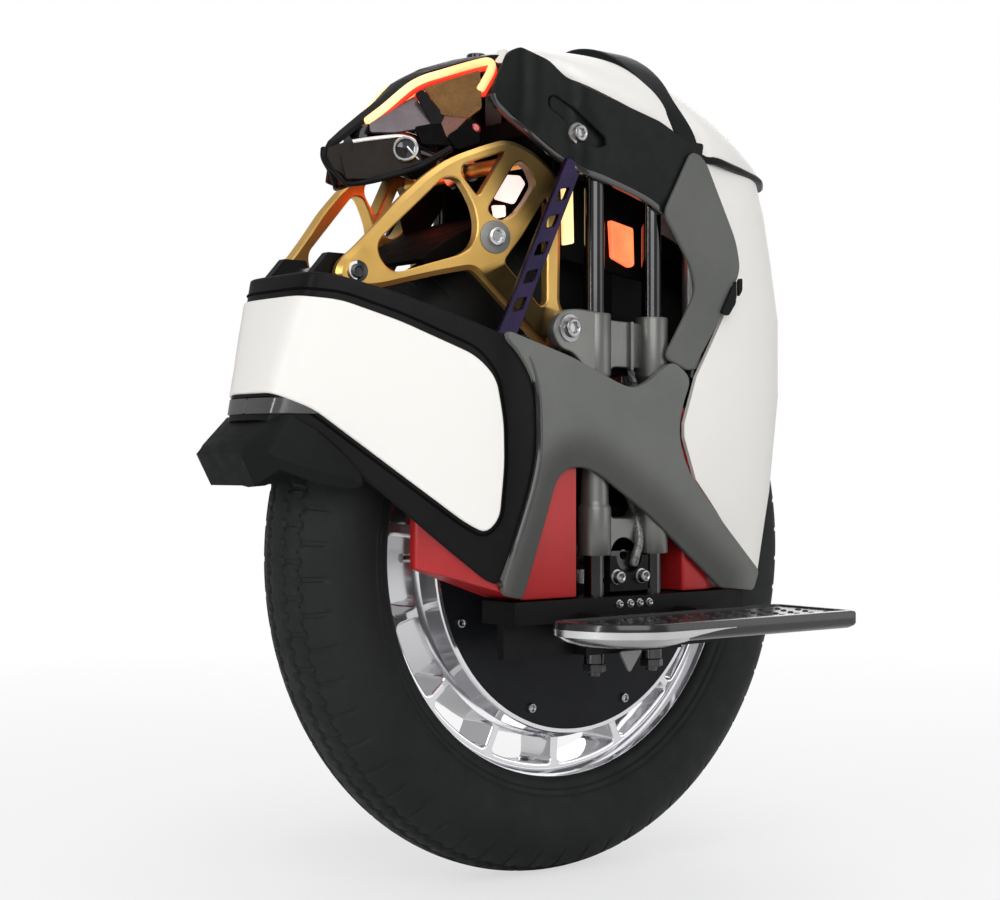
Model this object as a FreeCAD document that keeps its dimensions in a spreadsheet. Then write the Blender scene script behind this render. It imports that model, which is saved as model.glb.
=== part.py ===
import FreeCAD, Part
import math
import os

import Sketcher

Vector = FreeCAD.Vector
Rotation = FreeCAD.Rotation
Placement = FreeCAD.Placement

# Electric unicycle. Origin on the ground under the axle, +X forward, +Y to its left, +Z up.
# Lengths are in millimetres and angles in degrees.
DIMENSIONS = {
    # Wheel, and the tyre that the other places were measured with
    "tyre_radius": 228.5,
    "tyre_width": 76.0,
    "measured_radius": 228.5,
    "measured_width": 76.0,
    "bead_radius": 157.0,
    "rim_seat_radius": 156.6,
    "rim_flange_radius": 166.4,
    "rim_flange": 2.5,
    "rim_inner_radius": 147.0,
    "rim_width": 60.0,
    "web_width": 44.0,
    "drum_radius": 127.5,
    "drum_bore": 123.5,
    "drum_width": 76.0,
    "window_inset": 1.8,
    "window_half_width": 18.5,
    "window_lean": 7.0,
    "window_count": 15,
    "cover_rim": 19.0,
    "cover_thickness": 4.0,
    "cover_dish": 3.0,
    "boss_radius": 36.0,
    "boss_height": 7.0,
    "bearing_radius": 22.0,
    "bearing_width": 12.0,
    "magnet_thickness": 6.0,
    "magnet_width": 44.0,
    "cover_screw_radius": 3.2,
    "cover_screw_height": 2.2,
    "cover_screw_circle": 115.0,
    "cover_screw_count": 8,
    "valve_radius": 3.0,
    "valve_length": 15.0,
    # Fits
    "running_clearance": 0.05,
    "seat_gap": 0.3,
    "overrun": 20.0,
    # Axle and motor
    "axle_radius": 12.0,
    "axle_reach": 84.0,
    "air_gap": 2.0,
    "stator_bore": 62.0,
    "stator_width": 36.0,
    "spider_width": 10.0,
    "stator_slot_depth": 22.0,
    "stator_slot_width": 7.0,
    "stator_slot_count": 30,
    "winding_width": 6.5,
    "cable_radius": 3.2,
    "cable_bend": 7.0,
    "cable_turn": 12.0,
    "cable_climb": 66.0,
    "connector_depth": 8.0,
    "connector_side": 20.0,
    # Guide rods and sliders
    "travel": 29.0,
    "rod_radius": 7.0,
    "rod_spread": 27.0,
    "rod_offset": 84.0,
    "rod_bottom": 156.0,
    "rod_stub": 5.0,
    "rod_nut_radius": 10.0,
    "rod_nut_height": 6.0,
    "tube_radius": 11.0,
    "bush_wall": 1.5,
    "bush_length": 20.0,
    "slider_top": 391.0,
    "collar_height": 39.0,
    "block_height": 36.0,
    "block_depth": 12.0,
    "collar_depth": 8.0,
    "lug_x": 57.0,
    "lug_drop": 10.0,
    "lug_radius": 14.0,
    "lug_inner": 83.0,
    "lug_outer": 94.0,
    "lug_bolt_radius": 4.0,
    "lug_bolt_head": 8.0,
    "lug_bolt_inner": 66.0,
    "bolt_head_height": 4.0,
    "lug_slack": 0.9,
    "lug_slot": 3.4,
    "cap_half_width": 18.0,
    "cap_height": 24.0,
    "cap_outer": 90.0,
    "cap_bolt_spread": 10.5,
    "cap_bolt_radius": 5.5,
    "cap_bolt_height": 4.5,
    # Inner mudguard
    "mudguard_gap": 11.5,
    "mudguard_wall": 3.0,
    "mudguard_half_width": 44.0,
    "mudguard_lip": 14.0,
    "mudguard_start": 54.0,
    "mudguard_sweep": 76.0,
    "stay_half_width": 12.0,
    "stay_inner": 56.0,
    "stay_thickness": 4.0,
    "stay_foot": 6.0,
    "stay_top_drop": 9.0,
    # Top bridge
    "bridge_pad_top": 500.0,
    "bridge_pad_height": 14.0,
    "bridge_pad_inner": 63.0,
    "bridge_pad_outer": 91.4,
    "bridge_riser": 7.0,
    "bridge_plate_low": 521.0,
    "bridge_plate_height": 12.0,
    "bridge_front": 40.0,
    "bridge_rear": 74.0,
    # Pedal brackets and pedals
    "bracket_half_length": 107.0,
    "bracket_top": 201.0,
    "bracket_rail_height": 15.0,
    "bracket_inner": 62.0,
    "panel_inner": 95.6,
    "bracket_skirt": 6.0,
    "bracket_bottom": 163.0,
    "bracket_block_half": 45.0,
    "bracket_screw_radius": 3.0,
    "bracket_screw_height": 2.0,
    "bracket_screw_pitch": 12.0,
    "bracket_screw_z": 195.0,
    "hinge_y": 112.0,
    "hinge_z": 183.0,
    "hinge_pin_radius": 5.0,
    "hinge_ear_radius": 9.0,
    "hinge_ear_width": 12.0,
    "hinge_tongue_half": 38.0,
    "hinge_side_gap": 1.0,
    "pedal_front": 106.0,
    "pedal_rear": 110.0,
    "pedal_inner": 124.0,
    "pedal_outer": 200.0,
    "pedal_above": 9.0,
    "pedal_below": 7.0,
    "pedal_corner": 14.0,
    # Battery boxes
    "box_top": 330.0,
    "box_inner": 52.0,
    "box_outer": 92.0,
    "box_slot": 50.0,
    "box_wall": 2.5,
    "box_front": 168.0,
    "box_front_outer": 62.0,
    "box_front_bend": 112.0,
    "box_rear": 112.0,
    "box_rear_outer": 83.0,
    "box_rear_bend": 75.0,
    # Side panels
    "panel_thickness": 3.4,
    "panel_front": 119.0,
    "panel_rear": 120.0,
    "panel_bottom": 201.5,
    "panel_top": 376.0,
    "trim_front": 25.0,
    "trim_rear": 102.0,
    "trim_bottom": 354.5,
    "trim_top": 511.0,
    "plate_inner": 91.6,
    "plate_thickness": 4.0,
    "plate_front": 123.0,
    "plate_rear": 61.0,
    "plate_bottom": 466.0,
    "plate_top": 563.0,
    "plate_bolt_x": 44.0,
    "plate_bolt_z": 511.0,
    "plate_bolt_radius": 6.0,
    # Nose
    "nose_rear": 86.0,
    "nose_bend": 118.0,
    "nose_half_width": 97.4,
    "nose_front_half": 36.6,
    "nose_front": 233.0,
    "nose_front_z": 395.0,
    "nose_rake": 13.0,
    "nose_low_z": 200.0,
    "nose_high_z": 420.0,
    "nose_wall": 3.0,
    "nose_skin": 2.0,
    "nose_top": 412.0,
    "nose_bottom": 210.0,
    "nose_tip": 262.0,
    "band_top": 397.0,
    "band_bottom": 247.0,
    "band_rear": 120.5,
    "lamp_inner": 6.0,
    "lamp_outer": 30.0,
    "lamp_low": 321.0,
    "lamp_high": 330.0,
    "lamp_depth": 2.4,
    "flap_tip": 262.0,
    "flap_rear": 205.0,
    "flap_tip_half": 42.0,
    "flap_rear_half": 55.0,
    "flap_wall": 9.0,
    "flap_front_wall": 24.0,
    "flap_low": 277.0,
    "flap_step": 288.0,
    "flap_high": 309.0,
    "flap_step_setback": 14.0,
    # Suspension arm
    "pivot_x": 195.0,
    "pivot_z": 414.0,
    "pivot_half": 38.5,
    "pivot_radius": 6.0,
    "pivot_reach": 44.0,
    "arm_lug_half": 74.19,
    "arm_thickness": 8.0,
    "arm_front": 212.0,
    "arm_rear": 48.0,
    "arm_top": 504.0,
    "arm_bottom": 368.0,
    "arm_bolt_x": 102.0,
    "arm_bolt_z": 440.0,
    "arm_bolt_radius": 8.0,
    "arm_washer_radius": 12.0,
    "arm_washer_height": 1.5,
    "yoke_inner": 22.0,
    "yoke_outer": 29.0,
    "yoke_plate": 3.0,
    "yoke_low": 384.0,
    "yoke_high": 426.0,
    "yoke_rear": 184.0,
    # Shock absorber
    "shock_front_x": 158.0,
    "shock_front_z": 506.0,
    "shock_rear_x": 74.0,
    "shock_rear_z": 494.0,
    "shock_pin_radius": 5.0,
    "shock_slack": 2.2,
    "shock_eye_radius": 11.0,
    "shock_eye_half": 9.0,
    "shock_can_radius": 15.0,
    "shock_can_start": 13.0,
    "shock_can_end": 51.0,
    "shock_shaft_radius": 5.0,
    "shock_shaft_start": 36.0,
    "shock_cheek": 4.0,
    "shock_cheek_half": 9.0,
    "arm_tube_radius": 5.0,
    "arm_tube_half": 64.2,
    # Struts
    "strut_thickness": 4.4,
    "strut_half_width": 7.0,
    "strut_low_x": 108.0,
    "strut_low_z": 377.0,
    "strut_high_x": 52.0,
    "strut_high_z": 490.0,
    # Hood, top cover and rear fender
    "shell_wall": 3.0,
    "hood_rear": 32.0,
    "hood_front": 182.0,
    "hood_half_width": 88.0,
    "hood_low": 482.0,
    "hood_high": 583.0,
    "cover_front": 30.0,
    "cover_rear": 194.0,
    "cover_half_width": 86.0,
    "cover_low": 510.0,
    "cover_high": 590.0,
    "fender_centre": 45.0,
    "fender_half_width": 97.0,
    "fender_reach": 177.0,
    "fender_low": 203.0,
    "fender_high": 508.0,
    "fender_gap": 9.5,
    "fender_slot_half": 46.0,
    "fender_rear": 260.0,
    "tail_lamp_half": 26.0,
    "tail_lamp_low": 408.0,
    "tail_lamp_high": 432.0,
    "tail_lamp_depth": 2.5,
    # Lamps under the hood
    "light_radius": 3.2,
    "headlamp_radius": 8.0,
    "headlamp_rear": 80.0,
    "headlamp_front": 104.0,
    "headlamp_y": 32.0,
    "headlamp_z": 541.0,
    "headlamp_stem_half": 4.0,
    "glow_inner": 63.0,
    "glow_thickness": 3.0,
    "glow_front_x": 12.0,
    "glow_rear_x": 44.0,
    "glow_width": 14.0,
    "glow_low": 442.0,
    # Controller and roof posts
    "controller_length": 58.0,
    "controller_drop": 10.0,
    "controller_half_width": 45.0,
    "post_radius": 5.0,
    "post_half": 30.0,
    "post_front_x": 36.0,
    "post_middle_x": 8.0,
    "post_rear_x": 62.0,
    # Trolley handle
    "handle_x": 65.0,
    "handle_y": 85.8,
    "handle_half_depth": 19.0,
    "hoop_low": 516.0,
    "hoop_high": 600.0,
    "hoop_half_width": 90.6,
    "hoop_thickness": 8.2,
    "leg_radius": 5.0,
    "leg_bottom": 352.0,
    "guide_wall": 1.7,
    "guide_bottom": 358.0,
    # Power button, charge port and its cap
    "button_x": 62.0,
    "button_radius": 8.0,
    "button_low": 570.0,
    "button_high": 579.5,
    "port_x": 83.0,
    "port_z": 416.0,
    "port_radius": 7.0,
    "port_bore": 5.0,
    "port_inner": 82.0,
    "port_bore_depth": 12.0,
    "cap_half_x": 11.0,
    "cap_half_z": 12.0,
    "cap_thickness": 3.0,
}

# Places along and up the part, which grow with the tyre's radius.
SIDE_PLACES = (
    "bead_radius", "rim_seat_radius", "rim_flange_radius", "rim_inner_radius", "drum_radius",
    "drum_bore", "window_half_width", "window_lean", "cover_screw_circle", "stator_bore", "rod_spread",
    "rod_bottom", "slider_top", "lug_x", "lug_slot", "travel", "bridge_pad_top", "bridge_plate_low",
    "bridge_front", "bridge_rear", "bracket_half_length", "bracket_top", "bracket_bottom",
    "bracket_block_half", "bracket_screw_z", "hinge_z", "hinge_tongue_half", "pedal_front",
    "pedal_rear", "box_top", "box_slot", "box_front", "box_front_bend", "box_rear", "box_rear_bend",
    "panel_front", "panel_rear", "panel_bottom", "panel_top", "trim_front", "trim_rear", "trim_bottom",
    "trim_top", "plate_front", "plate_rear", "plate_bottom", "plate_top", "plate_bolt_x",
    "plate_bolt_z", "nose_rear", "nose_bend", "nose_front", "nose_front_z", "nose_low_z", "nose_high_z",
    "nose_top", "nose_bottom", "nose_tip", "band_top", "band_bottom", "band_rear", "lamp_low",
    "lamp_high", "flap_tip", "flap_rear", "flap_low", "flap_step", "flap_high", "flap_step_setback",
    "flap_front_wall", "pivot_x", "pivot_z", "arm_front", "arm_rear", "arm_top", "arm_bottom",
    "arm_bolt_x", "arm_bolt_z", "yoke_low", "yoke_high", "yoke_rear", "shock_front_x", "shock_front_z",
    "shock_rear_x", "shock_rear_z", "shock_can_start", "shock_can_end", "shock_shaft_start",
    "strut_low_x", "strut_low_z", "strut_high_x", "strut_high_z", "hood_rear", "hood_front", "hood_low",
    "hood_high", "cover_front", "cover_rear", "cover_low", "cover_high", "fender_centre",
    "fender_reach", "fender_low", "fender_high", "fender_rear", "tail_lamp_low", "tail_lamp_high",
    "headlamp_rear", "headlamp_front", "headlamp_z", "glow_front_x", "glow_rear_x", "glow_low",
    "post_front_x", "post_middle_x", "post_rear_x", "handle_x", "handle_half_depth", "hoop_low",
    "hoop_high", "leg_bottom", "guide_bottom", "button_x", "button_low", "button_high", "port_x",
    "port_z", "cap_half_width", "cap_bolt_spread", "cap_height", "block_height", "collar_height",
    "cable_climb", "controller_length",
)
# Places across the part, which grow with the tyre's width.
CROSS_PLACES = (
    "rim_width", "web_width", "drum_width", "magnet_width", "stator_width", "axle_reach", "rod_offset",
    "lug_inner", "lug_outer", "lug_bolt_inner", "cap_outer", "mudguard_half_width", "stay_inner",
    "bridge_pad_inner", "bridge_pad_outer", "bracket_inner", "panel_inner", "hinge_y", "pedal_inner",
    "pedal_outer", "box_inner", "box_outer", "box_front_outer", "box_rear_outer", "plate_inner",
    "nose_half_width", "nose_front_half", "lamp_inner", "lamp_outer", "flap_tip_half", "flap_rear_half",
    "pivot_half", "arm_lug_half", "pivot_reach", "yoke_inner", "yoke_outer", "arm_tube_half",
    "hood_half_width", "cover_half_width", "fender_half_width", "fender_slot_half", "tail_lamp_half",
    "headlamp_y", "glow_inner", "post_half", "controller_half_width", "handle_y", "hoop_half_width",
    "port_inner",
)

# Outlines as shares of the box that holds each one: across from rear to front, and up from low to high.
X_PANEL_SHARES = (
    (0.996, 1.0), (0.569, 0.818), (0.523, 0.818), (0.410, 0.880), (0.364, 0.905), (0.289, 0.852),
    (0.343, 0.648), (0.289, 0.455), (0.0, 0.08), (0.025, 0.0), (0.155, 0.017), (0.452, 0.318),
    (0.569, 0.415), (0.703, 0.5), (0.795, 0.472), (0.941, 0.0), (1.0, 0.0), (1.0, 0.085),
    (0.870, 0.568), (0.887, 0.824), (0.941, 0.949),
)
TRIM_SHARES = (
    (0.636, 1.0), (1.0, 0.704), (0.662, 0.491), (0.584, 0.384), (1.0, 0.065), (0.649, 0.0),
    (0.247, 0.283), (0.0, 0.491), (0.065, 0.623), (0.468, 0.962),
)
HEAD_PLATE_SHARES = (
    (0.853, 1.0), (0.75, 0.938), (0.674, 0.835), (0.527, 0.773), (0.196, 0.639), (0.0, 0.485),
    (0.163, 0.0), (0.277, 0.093), (0.674, 0.268), (0.957, 0.546), (1.0, 0.67), (0.918, 0.959),
)
ARM_SHARES = (
    (1.0, 0.338), (0.854, 0.551), (0.573, 0.897), (0.5, 0.942), (0.256, 1.0), (0.049, 1.0),
    (0.0, 0.941), (0.0, 0.096), (0.03, 0.02), (0.085, 0.0), (0.134, 0.06), (0.402, 0.412),
    (0.622, 0.338), (0.829, 0.25), (0.902, 0.235), (0.97, 0.272),
)
ARM_WINDOW_SHARES = (
    ((0.829, 0.426), (0.598, 0.765), (0.512, 0.794), (0.451, 0.706), (0.427, 0.588), (0.512, 0.456),
     (0.573, 0.419), (0.793, 0.346)),
    ((0.451, 0.875), (0.268, 0.949), (0.402, 0.721)),
    ((0.098, 0.809), (0.232, 0.559), (0.262, 0.456), (0.110, 0.250)),
)
NOSE_SIDE_SHARES = (
    (1.0, 1.0), (0.625, 1.0), (0.517, 0.960), (0.324, 0.886), (0.182, 0.832), (0.0, 0.80),
    (0.0, 0.10), (0.182, 0.0), (0.216, 0.0), (0.517, 0.272), (0.682, 0.396), (0.835, 0.520), (1.0, 0.57),
)
BAND_SIDE_SHARES = (
    (1.0, 1.0), (0.640, 0.980), (0.399, 0.887), (0.081, 0.740), (0.018, 0.673), (0.0, 0.35),
    (0.012, 0.033), (0.053, 0.0), (0.088, 0.013), (0.399, 0.253), (0.795, 0.560), (1.0, 0.62),
)
FENDER_SIDE_SHARES = (
    (0.868, 1.0), (0.731, 0.814), (0.700, 0.744), (0.790, 0.636), (0.933, 0.490), (1.0, 0.364),
    (0.937, 0.252), (0.622, 0.033), (0.605, 0.0), (0.0, 0.0), (0.0, 1.0),
)
# Tyre section from bead to crown: share of the section height and share of half the width.
TYRE_OUTER_SHARES = ((0.0, 0.71), (0.14, 0.715), (0.2, 0.88), (0.45, 1.0), (0.72, 0.97), (0.9, 0.78), (1.0, 0.36))
TYRE_INNER_SHARES = ((0.0, 0.5), (0.2, 0.68), (0.45, 0.78), (0.68, 0.74), (0.8, 0.55), (0.84, 0.25))
TUBE_OUTER_SHARES = ((0.02, 0.46), (0.2, 0.67), (0.45, 0.77), (0.67, 0.73), (0.79, 0.54), (0.83, 0.24))
TUBE_INNER_SHARES = ((0.07, 0.41), (0.22, 0.61), (0.45, 0.71), (0.64, 0.67), (0.75, 0.48), (0.79, 0.21))
# Half of a roof section, from its edge to its crown: share of half the width and share of the rise.
ROOF_SECTION_SHARES = ((1.0, 0.0), (0.96, 0.3), (0.82, 0.62), (0.55, 0.88), (0.22, 0.98))
# Stations along a roof: share of its length from the rear, of half its width, and of its height at edge and crown.
HOOD_STATION_SHARES = (
    (0.0, 1.0, 0.584, 1.0), (0.44, 0.977, 0.624, 0.851), (0.653, 0.75, 0.376, 0.673),
    (0.84, 0.523, 0.198, 0.455), (1.0, 0.35, 0.0, 0.24),
)
COVER_STATION_SHARES = (
    (0.0, 0.28, 0.03, 0.13), (0.085, 0.53, 0.02, 0.26), (0.24, 0.79, 0.0, 0.575), (0.42, 0.93, 0.03, 0.89),
    (0.6, 0.93, 0.1, 1.0), (0.82, 0.93, 0.25, 1.0), (1.0, 1.0, 0.44, 0.94),
)
# Stations up the rear fender: share of its height, of half its width and of its reach behind the centre.
FENDER_STATION_SHARES = (
    (0.0, 1.0, 0.83), (0.22, 1.0, 0.932), (0.46, 1.0, 1.0), (0.65, 1.0, 1.0), (0.81, 0.98, 0.945),
    (0.91, 0.95, 0.91), (1.0, 0.89, 0.87),
)
YOKE_SHARES = ((1.0, 0.0), (1.0, 0.5), (0.55, 1.0), (0.15, 1.0), (0.0, 0.7), (0.15, 0.476), (0.6, 0.19))
LIGHT_ROUTE_SHARES = ((0.83, 0.21, 0.30), (0.57, 0.50, 0.62), (0.47, 0.72, 0.66), (0.49, 0.79, 0.50))

doc = FreeCAD.newDocument("ElectricUnicycle")
sheet = doc.addObject("Spreadsheet::Sheet", "Sizes")
for row, (name, value) in enumerate(DIMENSIONS.items(), start=1):
    sheet.set(f"A{row}", name)
    sheet.set(f"B{row}", str(value))
    sheet.setAlias(f"B{row}", name)
doc.recompute()


class Size:
    """A length or an angle, with the expression on the sheet that gives it."""

    def __init__(self, value, text):
        self.value = float(value)
        self.text = text

    def __add__(self, other):
        return Size(self.value + number(other), f"({self.text} + {words(other)})")

    def __sub__(self, other):
        return Size(self.value - number(other), f"({self.text} - {words(other)})")

    def __mul__(self, share):
        return Size(self.value * number(share), f"({self.text} * {words(share)})")

    def __truediv__(self, share):
        return Size(self.value / number(share), f"({self.text} / {words(share)})")

    def __neg__(self):
        return Size(-self.value, f"(0 - {self.text})")


def number(term):
    return term.value if isinstance(term, Size) else float(term)


def words(term):
    return term.text if isinstance(term, Size) else repr(float(term))


class Sheet:
    """Every driving dimension as an attribute."""

    def __init__(self):
        for name in DIMENSIONS:
            setattr(self, name, Size(sheet.get(name), f"Sizes.{name}"))
        for name in SIDE_PLACES:
            setattr(self, name, getattr(self, name) * (self.tyre_radius / self.measured_radius))
        for name in CROSS_PLACES:
            setattr(self, name, getattr(self, name) * (self.tyre_width / self.measured_width))


d = Sheet()
zero = Size(0.0, "0")
nodes = []


def node(item):
    """Keep an object as a node of the finished part."""
    nodes.append(item)
    return item


def bind(item, field, size):
    item.setExpression(field, size.text)


def place(item, x=zero, y=zero, z=zero, rotation=None):
    """Put an object at a point of the frame, turned if need be."""
    item.Placement = Placement(Vector(x.value, y.value, z.value), rotation or Rotation())
    bind(item, "Placement.Base.x", x)
    bind(item, "Placement.Base.y", y)
    bind(item, "Placement.Base.z", z)
    return item


TURN_TO_Y = Rotation(Vector(1, 0, 0), -90)
TURN_TO_X = Rotation(Vector(0, 1, 0), 90)


def new_body(label):
    body = doc.addObject("PartDesign::Body", label)
    body.Label = label
    return body


def new_sketch(body, role, loops):
    """A sketch on one of the body's origin planes, with every corner held by two dimensions."""
    sketch = body.newObject("Sketcher::SketchObject", "Outline")
    plane = next(item for item in body.Origin.OriginFeatures if item.Role == role)
    sketch.AttachmentSupport = [(plane, "")]
    sketch.MapMode = "FlatFace"
    for points in loops:
        first = sketch.GeometryCount
        count = len(points)
        corners = [Vector(x.value, y.value, 0) for x, y in points]
        edges = [Part.LineSegment(corners[i], corners[(i + 1) % count]) for i in range(count)]
        sketch.addGeometry(edges)
        joins = [
            Sketcher.Constraint("Coincident", first + i, 2, first + (i + 1) % count, 1)
            for i in range(count)
        ]
        sketch.addConstraint(joins)
        for i, (x, y) in enumerate(points):
            hold(sketch, "DistanceX", first + i, x)
            hold(sketch, "DistanceY", first + i, y)
    return sketch


def hold(sketch, kind, edge, size):
    """Dimension the start of an edge from the sketch's origin."""
    index = sketch.addConstraint(Sketcher.Constraint(kind, -1, 1, edge, 1, size.value))
    bind(sketch, f"Constraints[{index}]", size)


def padded(label, role, loops, length, reverse=False):
    """A plate: an outline with any holes, given a thickness."""
    body = new_body(label)
    pad = body.newObject("PartDesign::Pad", "Plate")
    pad.Profile = new_sketch(body, role, loops)
    bind(pad, "Length", length)
    pad.Reversed = reverse
    body.Tip = pad
    return body


def side_plate(label, loops, inner, thickness):
    """A plate parallel to the wheel's plane, from its inner face outwards along +Y."""
    body = padded(label, "XZ_Plane", loops, thickness, reverse=True)
    return place(body, y=inner)


def turned(label, loops, sweep=None):
    """A ring turned about the Y axis from a section of radius and width."""
    body = new_body(label)
    ring = body.newObject("PartDesign::Revolution", "Ring")
    sketch = new_sketch(body, "XY_Plane", loops)
    ring.Profile = sketch
    ring.ReferenceAxis = (sketch, ["V_Axis"])
    ring.Angle = 360
    if sweep:
        bind(ring, "Angle", sweep)
    body.Tip = ring
    return body


def pierce(body, loop, count):
    """Cut an outline through a ring and repeat it round the ring's axis."""
    sketch = new_sketch(body, "XZ_Plane", [loop])
    pocket = body.newObject("PartDesign::Pocket", "Window")
    pocket.Profile = sketch
    pocket.Type = "ThroughAll"
    pocket.SideType = "Symmetric"
    doc.recompute()
    pattern = body.newObject("PartDesign::PolarPattern", "Windows")
    pattern.Originals = [pocket]
    pattern.Axis = (sketch, ["N_Axis"])
    pattern.Angle = 360
    bind(pattern, "Occurrences", count)
    body.Tip = pattern
    return body


def cylinder(label, radius, length, x=zero, y=zero, z=zero, rotation=None):
    item = doc.addObject("Part::Cylinder", label)
    bind(item, "Radius", radius)
    bind(item, "Height", length)
    return place(item, x, y, z, rotation)


def box(label, low, high):
    item = doc.addObject("Part::Box", label)
    bind(item, "Length", high[0] - low[0])
    bind(item, "Width", high[1] - low[1])
    bind(item, "Height", high[2] - low[2])
    return place(item, *low)


def fused(label, parts):
    item = doc.addObject("Part::MultiFuse", label)
    item.Shapes = parts
    return item


def cut(label, base, tools):
    item = doc.addObject("Part::Cut", label)
    item.Base = base
    item.Tool = tools[0] if len(tools) == 1 else fused(label + "_tools", tools)
    return item


def common(label, first, second):
    item = doc.addObject("Part::Common", label)
    item.Base = first
    item.Tool = second
    return item


def grouped(label, parts):
    """Several separate solids of one kind under one name."""
    item = doc.addObject("Part::Compound", label)
    item.Links = parts
    return item


def mirrored(label, source):
    """The same piece on the other side of the wheel's plane."""
    item = doc.addObject("Part::Mirroring", label)
    item.Source = source
    item.Base = Vector(0, 0, 0)
    item.Normal = Vector(0, 1, 0)
    return item


def shaped(label, shape):
    item = doc.addObject("Part::Feature", label)
    item.Shape = shape
    item.Placement = Placement()
    return item


def within(shares, low_x, high_x, low_z, high_z):
    """Points of an outline from its shares of a box."""
    return [(low_x + (high_x - low_x) * u, low_z + (high_z - low_z) * v) for u, v in shares]


def both_sides(half):
    """A closed section from its half: out along one side and back along the other."""
    return half + [(x, -y) for x, y in reversed(half)]


def pair(label, left):
    """Keep a left piece and its mirror image under one name."""
    return node(grouped(label, [left, mirrored(label + "_far", left)]))


def build_wheel():
    section = d.tyre_radius - d.bead_radius
    half = d.tyre_width / 2

    def side(shares):
        return [(d.bead_radius + section * u, half * v) for u, v in shares]

    outer = both_sides(side(TYRE_OUTER_SHARES))
    inner = both_sides(side(TYRE_INNER_SHARES))
    tyre = turned("tyre", [outer + list(reversed(inner))])
    node(place(tyre, z=d.tyre_radius))
    tube = turned("inner_tube", [both_sides(side(TUBE_OUTER_SHARES)), both_sides(side(TUBE_INNER_SHARES))])
    node(place(tube, z=d.tyre_radius))

    rim_half = d.rim_width / 2
    rim = turned("rim", [both_sides([
        (d.drum_bore, d.drum_width / 2),
        (d.drum_radius, d.drum_width / 2),
        (d.drum_radius, d.web_width / 2),
        (d.rim_inner_radius, d.web_width / 2),
        (d.rim_inner_radius, rim_half),
        (d.rim_flange_radius, rim_half),
        (d.rim_flange_radius, rim_half - d.rim_flange),
        (d.rim_seat_radius, rim_half - d.rim_flange),
    ])])
    low = d.drum_radius + d.window_inset
    high = d.rim_inner_radius - d.window_inset
    pierce(rim, [
        (-d.window_half_width, low),
        (d.window_half_width - d.window_lean, low),
        (d.window_half_width, high),
        (d.window_lean - d.window_half_width, high),
    ], d.window_count)
    node(place(rim, z=d.tyre_radius))

    magnet_half = d.magnet_width / 2
    magnet_inner = d.drum_bore - d.magnet_thickness
    magnets = turned("magnet_ring", [both_sides([(magnet_inner, magnet_half), (d.drum_bore, magnet_half)])])
    node(place(magnets, z=d.tyre_radius))

    face = d.drum_width / 2
    seat = face - d.cover_thickness
    cover = turned("motor_cover_left", [[
        (d.bearing_radius, seat - d.cover_thickness),
        (d.boss_radius, seat - d.cover_thickness),
        (d.boss_radius, seat),
        (d.drum_bore, seat),
        (d.drum_bore, face),
        (d.drum_bore - d.cover_rim, face),
        (d.boss_radius, face + d.cover_dish),
        (d.boss_radius, face + d.boss_height),
        (d.bearing_radius, face + d.boss_height),
    ]])
    place(cover, z=d.tyre_radius)
    pair("motor_covers", cover)
    bore = d.axle_radius + d.running_clearance
    bearing_low = face + d.boss_height - d.bearing_width
    bearing = turned("bearing_left", [[
        (bore, bearing_low),
        (d.bearing_radius, bearing_low),
        (d.bearing_radius, face + d.boss_height),
        (bore, face + d.boss_height),
    ]])
    place(bearing, z=d.tyre_radius)
    pair("wheel_bearings", bearing)

    screws = []
    count = int(d.cover_screw_count.value)
    for i in range(count):
        turn = math.radians(360 * (i + 0.5) / count)
        x = d.cover_screw_circle * math.cos(turn)
        z = d.tyre_radius + d.cover_screw_circle * math.sin(turn)
        screw = cylinder(f"cover_screw_{i}", d.cover_screw_radius, d.cover_screw_height, x, face, z, TURN_TO_Y)
        screws += [screw, mirrored(f"cover_screw_far_{i}", screw)]
    node(grouped("cover_screws", screws))
    node(cylinder(
        "valve_stem", d.valve_radius, d.valve_length,
        d.rim_inner_radius - d.valve_length, (d.web_width + d.rim_width) / 4, d.tyre_radius, TURN_TO_X,
    ))
    return face


def build_motor():
    shaft = cylinder("axle_bar", d.axle_radius, d.axle_reach * 2, zero, -d.axle_reach, d.tyre_radius, TURN_TO_Y)
    bore = cylinder(
        "axle_bore", d.cable_radius + d.seat_gap, d.axle_reach, zero, d.axle_reach / 2, d.tyre_radius, TURN_TO_Y,
    )
    node(cut("axle", shaft, [bore]))

    stator_radius = d.drum_bore - d.magnet_thickness - d.air_gap
    half = d.stator_width / 2
    core = turned("stator_core", [both_sides([
        (d.axle_radius, d.spider_width / 2),
        (d.stator_bore, d.spider_width / 2),
        (d.stator_bore, half),
        (stator_radius, half),
    ])])
    slot_half = d.stator_slot_width / 2
    pierce(core, [
        (-slot_half, stator_radius - d.stator_slot_depth),
        (slot_half, stator_radius - d.stator_slot_depth),
        (slot_half, stator_radius + d.air_gap / 2),
        (-slot_half, stator_radius + d.air_gap / 2),
    ], d.stator_slot_count)
    node(place(core, z=d.tyre_radius))
    near = half + d.seat_gap
    coil = turned("winding_left", [[
        (stator_radius - d.stator_slot_depth, near),
        (stator_radius - d.air_gap, near),
        (stator_radius - d.air_gap, near + d.winding_width),
        (stator_radius - d.stator_slot_depth, near + d.winding_width),
    ]])
    place(coil, z=d.tyre_radius)
    pair("stator_windings", coil)


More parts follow.
